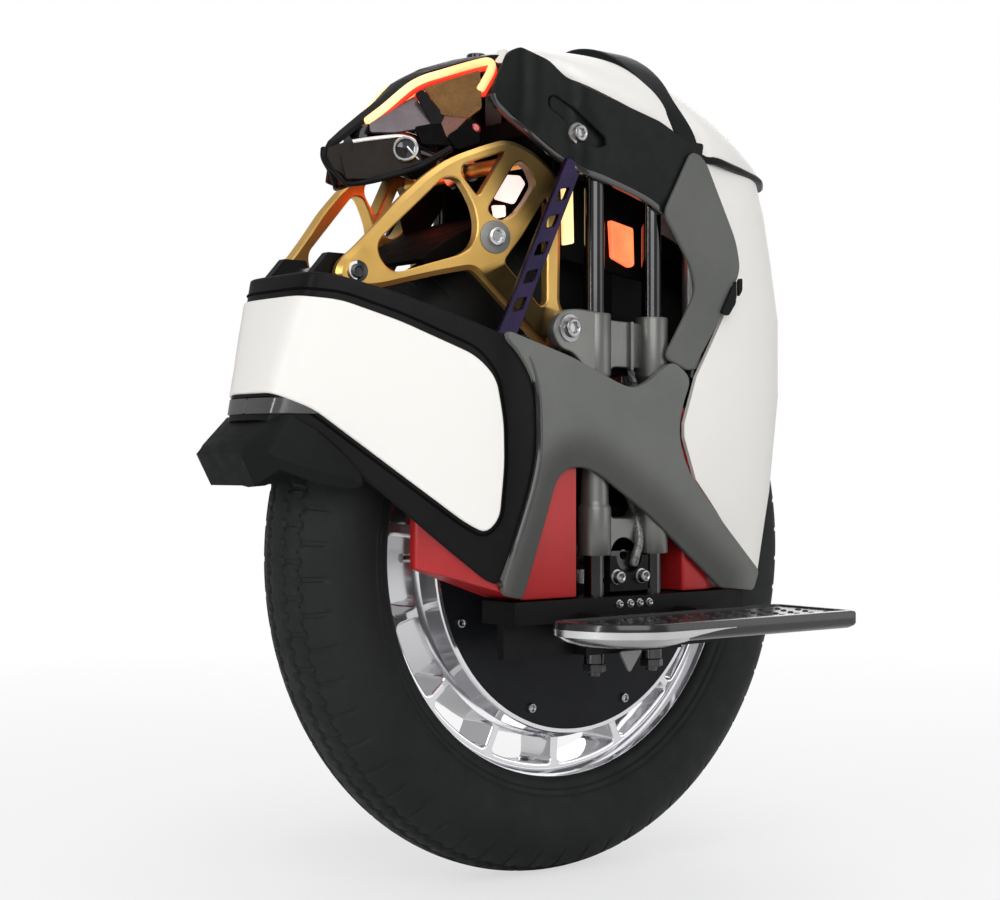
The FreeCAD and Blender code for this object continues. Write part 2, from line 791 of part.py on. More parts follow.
def build_sliders():
    bottom = d.tyre_radius + d.seat_gap
    height = d.slider_top - bottom
    sides = ((d.rod_spread, "front"), (-d.rod_spread, "rear"))
    tubes = [cylinder(f"tube_{end}", d.tube_radius, height, x, d.rod_offset, bottom) for x, end in sides]
    block = box(
        "axle_block",
        (-d.rod_spread, d.axle_reach - d.block_depth, bottom),
        (d.rod_spread, d.axle_reach, bottom + d.block_height),
    )
    collar = box(
        "slider_collar",
        (-d.rod_spread, d.axle_reach - d.collar_depth, d.slider_top - d.collar_height),
        (d.rod_spread, d.axle_reach, d.slider_top),
    )
    lug_z = d.slider_top - d.lug_drop
    lug_bar = box(
        "lug_bar",
        (d.rod_spread, d.lug_inner, lug_z - d.lug_radius),
        (d.lug_x, d.lug_outer, lug_z + d.lug_drop),
    )
    lug_eye = cylinder(
        "lug_eye", d.lug_radius, d.lug_outer - d.lug_inner, d.lug_x, d.lug_inner, lug_z, TURN_TO_Y,
    )
    casting = fused("slider_casting", tubes + [block, collar, lug_bar, lug_eye])
    bush_bore = d.rod_radius + d.running_clearance
    tube_bore = bush_bore + d.bush_wall
    bores = [cylinder(f"tube_bore_{end}", tube_bore, height, x, d.rod_offset, bottom) for x, end in sides]
    axle_seat = cylinder(
        "axle_seat", d.axle_radius, d.block_depth * 2, zero, d.axle_reach - d.block_depth, d.tyre_radius, TURN_TO_Y,
    )
    lug_hole = cylinder(
        "lug_hole", d.lug_bolt_radius, d.lug_outer - d.lug_inner, d.lug_x, d.lug_inner, lug_z, TURN_TO_Y,
    )
    pair("sliders", cut("slider_left", casting, bores + [axle_seat, lug_hole]))

    bushes = []
    for x, end in sides:
        for z, level in ((bottom, "low"), (d.slider_top - d.bush_length, "high")):
            name = f"bush_{end}_{level}"
            sleeve = cylinder(name + "_sleeve", tube_bore, d.bush_length, x, d.rod_offset, z)
            hole = cylinder(name + "_bore", bush_bore, d.bush_length, x, d.rod_offset, z)
            bush = cut(name, sleeve, [hole])
            bushes += [bush, mirrored(name + "_far", bush)]
    node(grouped("slider_bushes", bushes))

    cap_top = d.tyre_radius - d.seat_gap
    cap_block = box(
        "cap_block",
        (-d.cap_half_width, d.axle_reach - d.block_depth, cap_top - d.cap_height),
        (d.cap_half_width, d.cap_outer, cap_top),
    )
    cap_seat = cylinder(
        "cap_seat", d.axle_radius, d.overrun * 2, zero, d.axle_reach - d.overrun, d.tyre_radius, TURN_TO_Y,
    )
    pair("axle_caps", cut("axle_cap_left", cap_block, [cap_seat]))

    bolts = []
    for sign, end in ((1, "front"), (-1, "rear")):
        bolt = cylinder(
            f"cap_bolt_{end}", d.cap_bolt_radius, d.cap_bolt_height,
            d.cap_bolt_spread * sign, d.cap_outer, cap_top - d.cap_height * 0.6, TURN_TO_Y,
        )
        bolts += [bolt, mirrored(f"cap_bolt_far_{end}", bolt)]
    lug_shank = cylinder(
        "lug_shank", d.lug_bolt_radius, d.lug_outer - d.lug_bolt_inner, d.lug_x, d.lug_bolt_inner, lug_z, TURN_TO_Y,
    )
    lug_head = cylinder("lug_head", d.lug_bolt_head, d.bolt_head_height, d.lug_x, d.lug_outer, lug_z, TURN_TO_Y)
    lug_bolt = fused("lug_bolt", [lug_shank, lug_head])
    node(grouped("carriage_bolts", bolts + [lug_bolt, mirrored("lug_bolt_far", lug_bolt)]))


def build_mudguard():
    inner = d.tyre_radius + d.mudguard_gap
    outer = inner + d.mudguard_wall
    lip = d.mudguard_half_width - d.mudguard_wall
    guard = turned("inner_mudguard", [both_sides([
        (inner, lip),
        (outer - d.mudguard_lip, lip),
        (outer - d.mudguard_lip, d.mudguard_half_width),
        (outer, d.mudguard_half_width),
    ])], d.mudguard_sweep)
    end = d.mudguard_start + d.mudguard_sweep
    node(place(guard, z=d.tyre_radius, rotation=Rotation(Vector(0, 1, 0), -end.value)))

    foot_low = d.slider_top - d.collar_height
    foot_outer = d.axle_reach - d.collar_depth
    top = d.tyre_radius + outer - d.stay_top_drop
    stay = padded("stay_left", "YZ_Plane", [[
        (d.stay_inner, foot_low),
        (foot_outer, foot_low),
        (foot_outer, foot_low + d.stay_foot),
        (d.stay_inner + d.stay_thickness, foot_low + d.stay_foot),
        (d.stay_inner + d.stay_thickness, top),
        (d.mudguard_half_width, top),
        (d.mudguard_half_width, top - d.stay_thickness),
        (d.stay_inner, top - d.stay_thickness),
    ]], d.stay_half_width * 2)
    place(stay, x=-d.stay_half_width)
    pair("mudguard_stays", stay)


def build_motor_cable():
    """The cable leaves the axle's left end, climbs between the slider tubes and turns in to its connector."""
    start = Vector(0, d.axle_reach.value - d.cable_turn.value, d.tyre_radius.value)
    bend = d.cable_bend.value
    turn = d.cable_turn.value
    first = Vector(0, d.axle_reach.value, d.tyre_radius.value)
    second = first + Vector(0, bend, bend)
    third = second + Vector(0, 0, d.cable_climb.value)
    fourth = third + Vector(0, -turn, turn)
    face = d.stay_inner.value + d.stay_thickness.value + d.connector_depth.value
    end = Vector(0, face, fourth.z)
    diagonal = math.sqrt(0.5)
    elbow = first + Vector(0, bend * diagonal, bend * (1 - diagonal))
    shoulder = third + Vector(0, turn * (diagonal - 1), turn * diagonal)
    edges = [
        Part.LineSegment(start, first).toShape(),
        Part.Arc(first, elbow, second).toShape(),
        Part.LineSegment(second, third).toShape(),
        Part.Arc(third, shoulder, fourth).toShape(),
        Part.LineSegment(fourth, end).toShape(),
    ]
    path = Part.Wire(edges)
    ring = Part.Wire([Part.makeCircle(d.cable_radius.value, start, Vector(0, 1, 0))])
    cable = path.makePipeShell([ring], True, False)
    section = math.pi * d.cable_radius.value ** 2
    print("motor cable radii", bend, turn, "volume share", round(cable.Volume / (section * path.Length), 4))
    node(shaped("motor_cable", cable))
    half = d.connector_side / 2
    centre = d.tyre_radius + d.cable_bend + d.cable_climb + d.cable_turn
    seat = d.stay_inner + d.stay_thickness
    body = box(
        "connector_body",
        (-half, seat, centre - half),
        (half, seat + d.connector_depth, centre + half),
    )
    post = box(
        "connector_post",
        (-half, d.stay_inner, centre - half),
        (half, seat, d.slider_top - d.collar_height),
    )
    node(fused("cable_connector", [body, post]))


def build_frame():
    rods = []
    nuts = []
    pad_low = d.bridge_pad_top - d.bridge_pad_height
    for sign, end in ((1, "front"), (-1, "rear")):
        x = d.rod_spread * sign
        rod = cylinder(
            f"rod_{end}", d.rod_radius, d.bridge_pad_top + d.rod_stub - d.rod_bottom, x, d.rod_offset, d.rod_bottom,
        )
        nut = cylinder(
            f"nut_{end}", d.rod_nut_radius, d.rod_nut_height, x, d.rod_offset, d.rod_bottom - d.rod_nut_height,
        )
        rods += [rod, mirrored(f"rod_far_{end}", rod)]
        nuts += [nut, mirrored(f"nut_far_{end}", nut)]
    node(grouped("guide_rods", rods))

    plate_top = d.bridge_plate_low + d.bridge_plate_height
    riser = d.bridge_pad_inner + d.bridge_riser
    half = [
        (d.bridge_pad_inner, d.bridge_plate_low),
        (d.bridge_pad_inner, pad_low),
        (d.bridge_pad_outer, pad_low),
        (d.bridge_pad_outer, d.bridge_pad_top),
        (riser, d.bridge_pad_top),
        (riser, plate_top),
    ]
    bridge = padded(
        "bridge_plate", "YZ_Plane", [half + [(-y, z) for y, z in reversed(half)]], d.bridge_front + d.bridge_rear,
    )
    place(bridge, x=-d.bridge_rear)
    guide_radius = d.leg_radius + d.running_clearance + d.guide_wall
    height = d.bridge_pad_height + d.overrun * 2
    holes = []
    for sign in (1, -1):
        for x in (d.rod_spread, -d.rod_spread):
            holes.append(cylinder("bridge_rod_hole", d.rod_radius, height, x, d.rod_offset * sign, pad_low - d.overrun))
        holes.append(cylinder(
            "bridge_guide_hole", guide_radius, height, -d.handle_x, d.handle_y * sign, pad_low - d.overrun,
        ))
    node(cut("top_bridge", bridge, holes))

    rail = box(
        "bracket_rail",
        (-d.bracket_half_length, d.bracket_inner, d.bracket_top - d.bracket_rail_height),
        (d.bracket_half_length, d.panel_inner, d.bracket_top),
    )
    skirt = box(
        "bracket_skirt_wall",
        (-d.bracket_half_length, d.rod_offset - d.bracket_skirt, d.bracket_bottom),
        (d.bracket_half_length, d.rod_offset, d.bracket_top),
    )
    block = box(
        "bracket_block",
        (-d.bracket_block_half, d.rod_offset - d.tube_radius, d.bracket_bottom),
        (d.bracket_block_half, d.panel_inner, d.bracket_top),
    )
    ears = []
    holes = []
    reach = d.hinge_tongue_half + d.hinge_side_gap
    for sign, end in ((1, "front"), (-1, "rear")):
        x = reach if sign > 0 else -reach - d.hinge_ear_width
        ears.append(cylinder(
            f"hinge_ear_{end}", d.hinge_ear_radius, d.hinge_ear_width, x, d.hinge_y, d.hinge_z, TURN_TO_X,
        ))
        ears.append(box(
            f"hinge_arm_{end}",
            (x, d.panel_inner, d.hinge_z - d.hinge_ear_radius),
            (x + d.hinge_ear_width, d.hinge_y, d.hinge_z + d.hinge_ear_radius),
        ))
        holes.append(cylinder(
            f"bracket_rod_hole_{end}", d.rod_radius, d.bracket_top - d.bracket_bottom + d.overrun,
            d.rod_spread * sign, d.rod_offset, d.bracket_bottom - d.overrun / 2,
        ))
    pin_reach = reach + d.hinge_ear_width
    holes.append(cylinder(
        "hinge_hole", d.hinge_pin_radius, pin_reach * 2, -pin_reach, d.hinge_y, d.hinge_z, TURN_TO_X,
    ))
    bracket = fused("bracket_body", [rail, skirt, block] + ears)
    pair("pedal_brackets", cut("pedal_bracket_left", bracket, holes))
    pin = cylinder(
        "hinge_pin_left", d.hinge_pin_radius, pin_reach * 2, -pin_reach, d.hinge_y, d.hinge_z, TURN_TO_X,
    )
    pair("pedal_pins", pin)
    screws = []
    for i in range(4):
        screw = cylinder(
            f"bracket_screw_{i}", d.bracket_screw_radius, d.bracket_screw_height,
            d.bracket_screw_pitch * (i - 1.5), d.panel_inner, d.bracket_screw_z, TURN_TO_Y,
        )
        screws += [screw, mirrored(f"bracket_screw_far_{i}", screw)]
    bolt = cylinder(
        "plate_bolt_left", d.plate_bolt_radius, d.bolt_head_height,
        d.plate_bolt_x, d.plate_inner + d.plate_thickness, d.plate_bolt_z, TURN_TO_Y,
    )
    node(grouped("chassis_fixings", nuts + screws + [bolt, mirrored("plate_bolt_right", bolt)]))


def build_pedals():
    tongue = d.hinge_tongue_half
    clear = d.hinge_tongue_half + d.hinge_side_gap + d.hinge_ear_width + d.hinge_side_gap
    corner = d.pedal_corner
    plate = padded("pedal_plate", "XY_Plane", [[
        (-d.pedal_rear, d.pedal_inner + corner),
        (corner - d.pedal_rear, d.pedal_inner),
        (-tongue, d.pedal_inner),
        (-tongue, d.hinge_y),
        (tongue, d.hinge_y),
        (tongue, d.pedal_inner),
        (d.pedal_front - corner, d.pedal_inner),
        (d.pedal_front, d.pedal_inner + corner),
        (d.pedal_front, d.pedal_outer - corner),
        (d.pedal_front - corner, d.pedal_outer),
        (corner - d.pedal_rear, d.pedal_outer),
        (-d.pedal_rear, d.pedal_outer - corner),
    ]], d.pedal_above + d.pedal_below)
    place(plate, z=d.hinge_z - d.pedal_below)
    barrel = cylinder("pedal_barrel", d.pedal_above, tongue * 2, -tongue, d.hinge_y, d.hinge_z, TURN_TO_X)
    body = fused("pedal_body", [plate, barrel])
    bore = cylinder(
        "pedal_bore", d.hinge_pin_radius + d.running_clearance, clear * 2, -clear, d.hinge_y, d.hinge_z, TURN_TO_X,
    )
    left = node(cut("pedal_left", body, [bore]))
    node(mirrored("pedal_right", left))


def build_batteries():
    wall = d.box_wall
    front = [
        (d.box_slot, d.box_inner),
        (d.box_front, d.box_inner),
        (d.box_front, d.box_front_outer),
        (d.box_front_bend, d.box_outer),
        (d.box_slot, d.box_outer),
    ]
    rear = [
        (-d.box_slot, d.box_inner),
        (-d.box_slot, d.box_outer),
        (-d.box_rear_bend, d.box_outer),
        (-d.box_rear, d.box_rear_outer),
        (-d.box_rear, d.box_inner),
    ]
    front_inside = [
        (d.box_slot + wall, d.box_inner + wall),
        (d.box_front - wall, d.box_inner + wall),
        (d.box_front - wall, d.box_front_outer - wall),
        (d.box_front_bend - wall, d.box_outer - wall),
        (d.box_slot + wall, d.box_outer - wall),
    ]
    rear_inside = [
        (-d.box_slot - wall, d.box_inner + wall),
        (-d.box_slot - wall, d.box_outer - wall),
        (wall - d.box_rear_bend, d.box_outer - wall),
        (wall - d.box_rear, d.box_rear_outer - wall),
        (wall - d.box_rear, d.box_inner + wall),
    ]
    shells = []
    packs = []
    height = d.box_top - d.bracket_top
    for name, outline, inside in (("front", front, front_inside), ("rear", rear, rear_inside)):
        shell = place(padded(f"box_{name}", "XY_Plane", [outline], height), z=d.bracket_top)
        hollow = place(padded(f"box_{name}_hollow", "XY_Plane", [inside], height - wall * 2), z=d.bracket_top + wall)
        shells.append(cut(f"box_{name}_shell", shell, [hollow]))
        pack = padded(f"pack_{name}", "XY_Plane", [inside], height - wall * 3)
        packs.append(place(pack, z=d.bracket_top + wall))
    pair("battery_boxes", grouped("battery_boxes_left", shells))
    pair("battery_packs", grouped("battery_packs_left", packs))


def build_side_panels():
    panel = within(X_PANEL_SHARES, -d.panel_rear, d.panel_front, d.panel_bottom, d.panel_top)
    pair("x_panels", side_plate("x_panel_left", [panel], d.panel_inner, d.panel_thickness))
    outline = within(TRIM_SHARES, -d.trim_rear, -d.trim_front, d.trim_bottom, d.trim_top)
    trim = side_plate("side_trim_plate", [outline], d.panel_inner, d.panel_thickness)
    hole = cylinder(
        "port_hole", d.port_radius + d.seat_gap, d.overrun * 2,
        -d.port_x, d.panel_inner - d.overrun, d.port_z, TURN_TO_Y,
    )
    node(grouped("side_trims", [cut("side_trim_left", trim, [hole]), mirrored("side_trim_right", trim)]))
    plate = within(HEAD_PLATE_SHARES, -d.plate_rear, d.plate_front, d.plate_bottom, d.plate_top)
    pair("head_plates", side_plate("head_plate_left", [plate], d.plate_inner, d.plate_thickness))


def nose_block(inset):
    """The nose as a solid wedge with a raked front, set in from its outer surface."""
    slope = (d.nose_half_width - d.nose_front_half) / (d.nose_front - d.nose_bend)
    wires = []
    for z in (d.nose_low_z, d.nose_high_z):
        shift = (d.nose_front_z - z) * math.tan(math.radians(d.nose_rake.value))
        tip = (d.nose_front + shift).value - inset
        tip_half = (d.nose_front_half - shift * slope).value - inset * 0.5
        wide = d.nose_half_width.value - inset
        bend = d.nose_bend.value - inset * 0.3
        rear = d.nose_rear.value
        half = [(rear, wide), (bend, wide), (tip, tip_half)]
        points = half + [(x, -y) for x, y in reversed(half)]
        corners = [Vector(x, y, z.value) for x, y in points]
        wires.append(Part.makePolygon(corners + corners[:1]))
    return Part.makeLoft(wires, True, True)


def side_prism(shares, low_x, high_x, low_z, high_z, half_width):
    """A side outline carried right across the part."""
    points = within(shares, low_x, high_x, low_z, high_z)
    corners = [Vector(x.value, -half_width.value, z.value) for x, z in points]
    face = Part.Face(Part.makePolygon(corners + corners[:1]))
    return face.extrude(Vector(0, half_width.value * 2, 0))


def build_nose():
    across = d.nose_half_width + d.overrun
    skin = d.nose_skin.value
    wall = d.nose_wall.value
    solid = nose_block(0)
    backed = nose_block(skin)
    hollow = nose_block(skin + wall)
    open_rear = Part.makeBox(
        d.overrun.value, across.value * 2, d.nose_high_z.value,
        Vector(d.nose_rear.value - d.overrun.value / 2, -across.value, 0),
    )
    side = side_prism(NOSE_SIDE_SHARES, d.nose_rear, d.nose_tip, d.nose_bottom, d.nose_top, across)
    frame = backed.cut(hollow).common(side).cut(open_rear)
    node(shaped("nose_frame", frame))
    band = side_prism(BAND_SIDE_SHARES, d.band_rear, d.nose_tip, d.band_bottom, d.band_top, across)
    node(shaped("nose_panel", solid.cut(backed).common(band)))
    lamps = []
    proud = nose_block(skin - d.lamp_depth.value).cut(backed)
    for sign in (1, -1):
        low = d.lamp_inner.value if sign > 0 else -d.lamp_outer.value
        window = Part.makeBox(
            d.nose_front.value, d.lamp_outer.value - d.lamp_inner.value, d.lamp_high.value - d.lamp_low.value,
            Vector(d.nose_bend.value, low, d.lamp_low.value),
        )
        lamps.append(proud.common(window))
    node(shaped("nose_lamps", Part.makeCompound([lamp.Solids[0] for lamp in lamps])))

    def flap_outline(tip, tip_half, rear):
        inner_tip = tip - d.flap_front_wall
        half = [(rear, d.flap_rear_half), (tip, tip_half)]
        inside = [(inner_tip, d.flap_tip_half + d.flap_wall / 4), (rear, d.flap_rear_half - d.flap_wall)]
        near = half + [(x, -y) for x, y in reversed(half)]
        far = [(x, -y) for x, y in reversed(inside)] + inside
        return near + far

    low = padded(
        "flap_low_part", "XY_Plane", [flap_outline(d.flap_tip, d.flap_tip_half, d.flap_rear)],
        d.flap_step - d.flap_low,
    )
    place(low, z=d.flap_low)
    front = d.flap_tip - d.flap_step_setback
    high = padded("flap_high_part", "XY_Plane", [[
        (d.flap_tip - d.flap_front_wall, -d.nose_front_half),
        (front, -d.nose_front_half),
        (front, d.nose_front_half),
        (d.flap_tip - d.flap_front_wall, d.nose_front_half),
    ]], d.flap_high - d.flap_step)
    place(high, z=d.flap_step)
    node(fused("mud_flap", [low, high]))


def build_arm():
    outline = within(ARM_SHARES, d.arm_rear, d.arm_front, d.arm_bottom, d.arm_top)
    windows = [within(shares, d.arm_rear, d.arm_front, d.arm_bottom, d.arm_top) for shares in ARM_WINDOW_SHARES]
    blank = side_plate("arm_blank", [outline] + windows, zero, d.rod_offset + d.tube_radius)
    length = d.arm_front - d.arm_rear + d.overrun * 2
    slab = box("arm_slab", (zero, zero, zero), (length, d.arm_thickness, d.arm_top - d.arm_bottom + d.overrun * 2))
    slope = ((d.arm_lug_half - d.pivot_half) / (d.pivot_x - d.lug_x)).value
    angle = math.atan(slope)
    slant = Rotation(Vector(0, 0, 1), -math.degrees(angle))
    start_x = d.arm_rear - d.overrun
    start_y = d.pivot_half + (d.pivot_x - start_x) * slope - d.arm_thickness * (0.5 / math.cos(angle))
    place(slab, start_x, start_y, d.arm_bottom - d.overrun, slant)
    plate = common("arm_slanted", blank, slab)
    lug_z = d.slider_top - d.lug_drop
    slot_radius = d.lug_bolt_radius + d.lug_slack
    across = d.rod_offset + d.overrun
    holes = [
        cylinder("arm_pivot_hole", d.pivot_radius + d.running_clearance, across, d.pivot_x, zero, d.pivot_z, TURN_TO_Y),
        cylinder("arm_slot_rear", slot_radius, across, d.lug_x, zero, lug_z, TURN_TO_Y),
        cylinder("arm_slot_front", slot_radius, across, d.lug_x + d.lug_slot, zero, lug_z, TURN_TO_Y),
        box(
            "arm_slot_middle",
            (d.lug_x, zero, lug_z - slot_radius),
            (d.lug_x + d.lug_slot, across, lug_z + slot_radius),
        ),
    ]
    pair("arm_plates", cut("arm_plate_left", plate, holes))
    node(cylinder(
        "arm_cross_tube", d.arm_tube_radius, d.arm_tube_half * 2,
        d.shock_rear_x, -d.arm_tube_half, d.shock_rear_z, TURN_TO_Y,
    ))
    face = d.pivot_half + (d.pivot_x - d.arm_bolt_x) * slope + d.arm_thickness * (0.5 / math.cos(angle))
    tilt = slant.multiply(TURN_TO_Y)
    washer = cylinder(
        "arm_washer", d.arm_washer_radius, d.arm_washer_height, d.arm_bolt_x, face, d.arm_bolt_z, tilt,
    )
    lean = Vector(math.sin(angle), math.cos(angle), 0)
    head = cylinder(
        "arm_bolt_head", d.arm_bolt_radius, d.bolt_head_height,
        d.arm_bolt_x + d.arm_washer_height * lean.x, face + d.arm_washer_height * lean.y, d.arm_bolt_z, tilt,
    )
    bolt = fused("arm_bolt", [washer, head])
    pair("arm_bolts", bolt)

    node(cylinder(
        "arm_pivot_shaft", d.pivot_radius, d.pivot_reach * 2, d.pivot_x, -d.pivot_reach, d.pivot_z, TURN_TO_Y,
    ))
    lean_back = ((d.yoke_low + d.yoke_high) / 2 - d.nose_front_z) * math.tan(math.radians(d.nose_rake.value))
    yoke_front = d.nose_front - lean_back - d.nose_skin - d.nose_wall - d.seat_gap
    outline = within(YOKE_SHARES, d.yoke_rear, yoke_front, d.yoke_low, d.yoke_high)
    cheek = side_plate("yoke_cheek", [outline], d.yoke_inner, d.yoke_outer - d.yoke_inner)
    foot = box(
        "yoke_foot",
        (yoke_front - d.yoke_plate, -d.yoke_outer, d.yoke_low),
        (yoke_front, d.yoke_outer, (d.yoke_low + d.yoke_high) / 2),
    )
    yoke = fused("yoke_body", [cheek, mirrored("yoke_cheek_far", cheek), foot])
    hole = cylinder(
        "yoke_hole", d.pivot_radius, d.yoke_outer * 2, d.pivot_x, -d.yoke_outer, d.pivot_z, TURN_TO_Y,
    )
    node(cut("nose_yoke", yoke, [hole]))


def build_shock():
    span_x = (d.shock_rear_x - d.shock_front_x).value
    span_z = (d.shock_rear_z - d.shock_front_z).value
    line = Rotation(Vector(0, 0, 1), Vector(span_x, 0, span_z))
    length = math.hypot(span_x, span_z)
    run = Vector(span_x / length, 0, span_z / length)

    def along(distance):
        return d.shock_front_x + distance * run.x, zero, d.shock_front_z + distance * run.z

    def ring(label, x, z, bore):
        eye = cylinder(label + "_eye", d.shock_eye_radius, d.shock_eye_half * 2, x, -d.shock_eye_half, z, TURN_TO_Y)
        hole = cylinder(label + "_hole", bore, d.shock_eye_half * 2, x, -d.shock_eye_half, z, TURN_TO_Y)
        return eye, hole

    eye, hole = ring("shock_front", d.shock_front_x, d.shock_front_z, d.shock_pin_radius + d.running_clearance)
    start = d.shock_eye_radius * 0.8
    neck = cylinder("shock_neck", d.shock_eye_half * 0.8, d.shock_can_start - start, *along(start), line)
    can = cylinder(
        "shock_barrel", d.shock_can_radius, d.shock_can_end - d.shock_can_start, *along(d.shock_can_start), line,
    )
    bore = cylinder(
        "shock_bore", d.shock_shaft_radius + d.running_clearance, d.shock_can_end - start,
        *along(d.shock_can_start), line,
    )
    node(cut("shock_can", fused("shock_can_body", [eye, neck, can]), [hole, bore]))
    eye, hole = ring("shock_rear", d.shock_rear_x, d.shock_rear_z, d.arm_tube_radius + d.shock_slack)
    reach = Size(length, repr(length)) - d.shock_eye_radius * 0.8 - d.shock_shaft_start
    rod = cylinder("shock_rod", d.shock_shaft_radius, reach, *along(d.shock_shaft_start), line)
    node(cut("shock_shaft", fused("shock_shaft_body", [eye, rod]), [hole]))

    cheek_inner = d.shock_eye_half + d.seat_gap
    low = d.shock_front_z - d.shock_cheek_half
    cheek = box(
        "shock_cheek_plate",
        (d.shock_front_x - d.shock_cheek_half, cheek_inner, low),
        (d.shock_front_x + d.shock_cheek_half, cheek_inner + d.shock_cheek, d.hood_high),
    )
    pin_half = cheek_inner + d.shock_cheek
    pin = cylinder(
        "shock_pin", d.shock_pin_radius, pin_half * 2, d.shock_front_x, -pin_half, d.shock_front_z, TURN_TO_Y,
    )
    return fused("shock_bracket_blank", [cheek, mirrored("shock_cheek_far", cheek), pin])


def build_struts():
    run_x = (d.strut_high_x - d.strut_low_x).value
    run_z = (d.strut_high_z - d.strut_low_z).value
    length = math.hypot(run_x, run_z)
    side = Vector(run_z / length, 0, -run_x / length)
    offset_x = d.strut_half_width * side.x
    offset_z = d.strut_half_width * side.z
    outline = [
        (d.strut_low_x - offset_x, d.strut_low_z - offset_z),
        (d.strut_low_x + offset_x, d.strut_low_z + offset_z),
        (d.strut_high_x + offset_x, d.strut_high_z + offset_z),
        (d.strut_high_x - offset_x, d.strut_high_z - offset_z),
    ]
    bar = side_plate("strut_bar", [outline], d.plate_inner - d.strut_thickness, d.strut_thickness)
    foot = box(
        "strut_foot",
        (d.strut_low_x - d.strut_half_width, d.plate_inner - d.strut_thickness, d.strut_low_z - d.strut_half_width * 2),
        (d.strut_low_x + d.strut_half_width, d.nose_half_width - d.nose_skin - d.nose_wall, d.strut_low_z),
    )
    pair("struts", fused("strut_left", [bar, foot]))


def roof(stations, low_x, high_x, half_width, low_z, high_z, inset):
    """A crowned roof as a solid down to its edges, lofted through sections square to X."""
    wires = []
    for along, wide, edge, crown in stations:
        x = (low_x + (high_x - low_x) * along).value
        w = (half_width * wide).value - inset
        z_edge = (low_z + (high_z - low_z) * edge).value
        rise = (low_z + (high_z - low_z) * crown).value - inset - z_edge
        half = [(w * u, z_edge + rise * v) for u, v in ROOF_SECTION_SHARES]
        points = half + [(-y, z) for y, z in reversed(half)]
        corners = [Vector(x, y, z) for y, z in points]
        wires.append(Part.makePolygon(corners + corners[:1]))
    return Part.makeLoft(wires, True, True)


def build_roofs(shock_blank):
    wall = d.shell_wall.value
    hood_box = (d.hood_rear, d.hood_front, d.hood_half_width, d.hood_low, d.hood_high)
    outer = roof(HOOD_STATION_SHARES, *hood_box, 0)
    inner = roof(HOOD_STATION_SHARES, *hood_box, wall)
    hood_room = inner
    shell = outer.cut(inner)
    room = d.button_radius.value + d.seat_gap.value
    well = Part.makeCylinder(room, d.hood_high.value, Vector(d.button_x.value, 0, d.cover_low.value))
    node(shaped("visor_hood", shell.cut(well)))
    doc.recompute()
    bracket = shock_blank.Shape.common(inner.fuse(below(d.hood_low, d.shock_front_z)))
    node(shaped("shock_bracket", bracket))

    lamps = []
    stem_half = d.headlamp_stem_half.value
    for sign in (1, -1):
        axis = Vector(d.headlamp_rear.value, d.headlamp_y.value * sign, d.headlamp_z.value)
        length = (d.headlamp_front - d.headlamp_rear).value
        lamp = Part.makeCylinder(d.headlamp_radius.value, length, axis, Vector(1, 0, 0))
        stem = Part.makeBox(
            stem_half * 2, stem_half * 2, d.hood_high.value - d.headlamp_z.value, axis - Vector(0, stem_half, 0),
        )
        lamps.append(lamp.fuse(stem.common(inner)).removeSplitter())
    node(shaped("headlamps", Part.makeCompound([lamp.Solids[0] for lamp in lamps])))

    tubes = []
    for sign in (1, -1):
        points = []
        for along, wide, up in LIGHT_ROUTE_SHARES:
            x = d.hood_rear + (d.hood_front - d.hood_rear) * along
            z = d.hood_low + (d.hood_high - d.hood_low) * up
            points.append(Vector(x.value, (d.hood_half_width * wide).value * sign, z.value))
        path = Part.makePolygon(points)
        ring = Part.Wire([Part.makeCircle(d.light_radius.value, points[0], points[1] - points[0])])
        tubes.append(path.makePipeShell([ring], True, True, 1))
    node(shaped("light_tubes", Part.makeCompound(tubes)))

    button = cylinder("power_button", d.button_radius, d.button_high - d.button_low, d.button_x, zero, d.button_low)
    node(button)

    cover_box = (-d.cover_rear, d.cover_front, d.cover_half_width, d.cover_low, d.cover_high)
    outer = roof(COVER_STATION_SHARES, *cover_box, 0)
    inner = roof(COVER_STATION_SHARES, *cover_box, wall)
    node(shaped("top_cover", outer.cut(inner)))
    posts = []
    floor = (d.bridge_plate_low + d.bridge_plate_height).value
    places = ((d.post_front_x, hood_room), (d.post_middle_x, inner), (-d.post_rear_x, inner))
    for x, room in places:
        for sign in (1, -1):
            foot = Vector(x.value, d.post_half.value * sign, floor)
            low = Part.makeCylinder(d.post_radius.value, d.overrun.value, foot)
            high = Part.makeCylinder(d.post_radius.value, d.cover_high.value, foot).common(room)
            posts.append(low.fuse(high).removeSplitter())
    node(shaped("roof_posts", Part.makeCompound([post.Solids[0] for post in posts])))


def below(low, high):
    """Room under the hood's edge for the pieces that hang there."""
    size = d.hood_half_width.value
    return Part.makeBox(
        d.hood_front.value, size * 2, (high - low).value, Vector(0, -size, low.value),
    )


def fender_block(inset):
    """The rear fender as a solid: half ellipses in plan, lofted up its height."""
    wires = []
    for up, wide, back in FENDER_STATION_SHARES:
        z = (d.fender_low + (d.fender_high - d.fender_low) * up).value
        across = (d.fender_half_width * wide).value - inset
        reach = (d.fender_reach * back).value - inset
        centre = -d.fender_centre.value
        points = []
        steps = 12
        for i in range(steps + 1):
            turn = math.pi * (i / steps - 0.5)
            points.append(Vector(centre - reach * math.cos(turn), across * math.sin(turn), z))
        curve = Part.BSplineCurve()
        curve.interpolate(points)
        wires.append(Part.Wire([curve.toShape(), Part.LineSegment(points[-1], points[0]).toShape()]))
    return Part.makeLoft(wires, True, True)


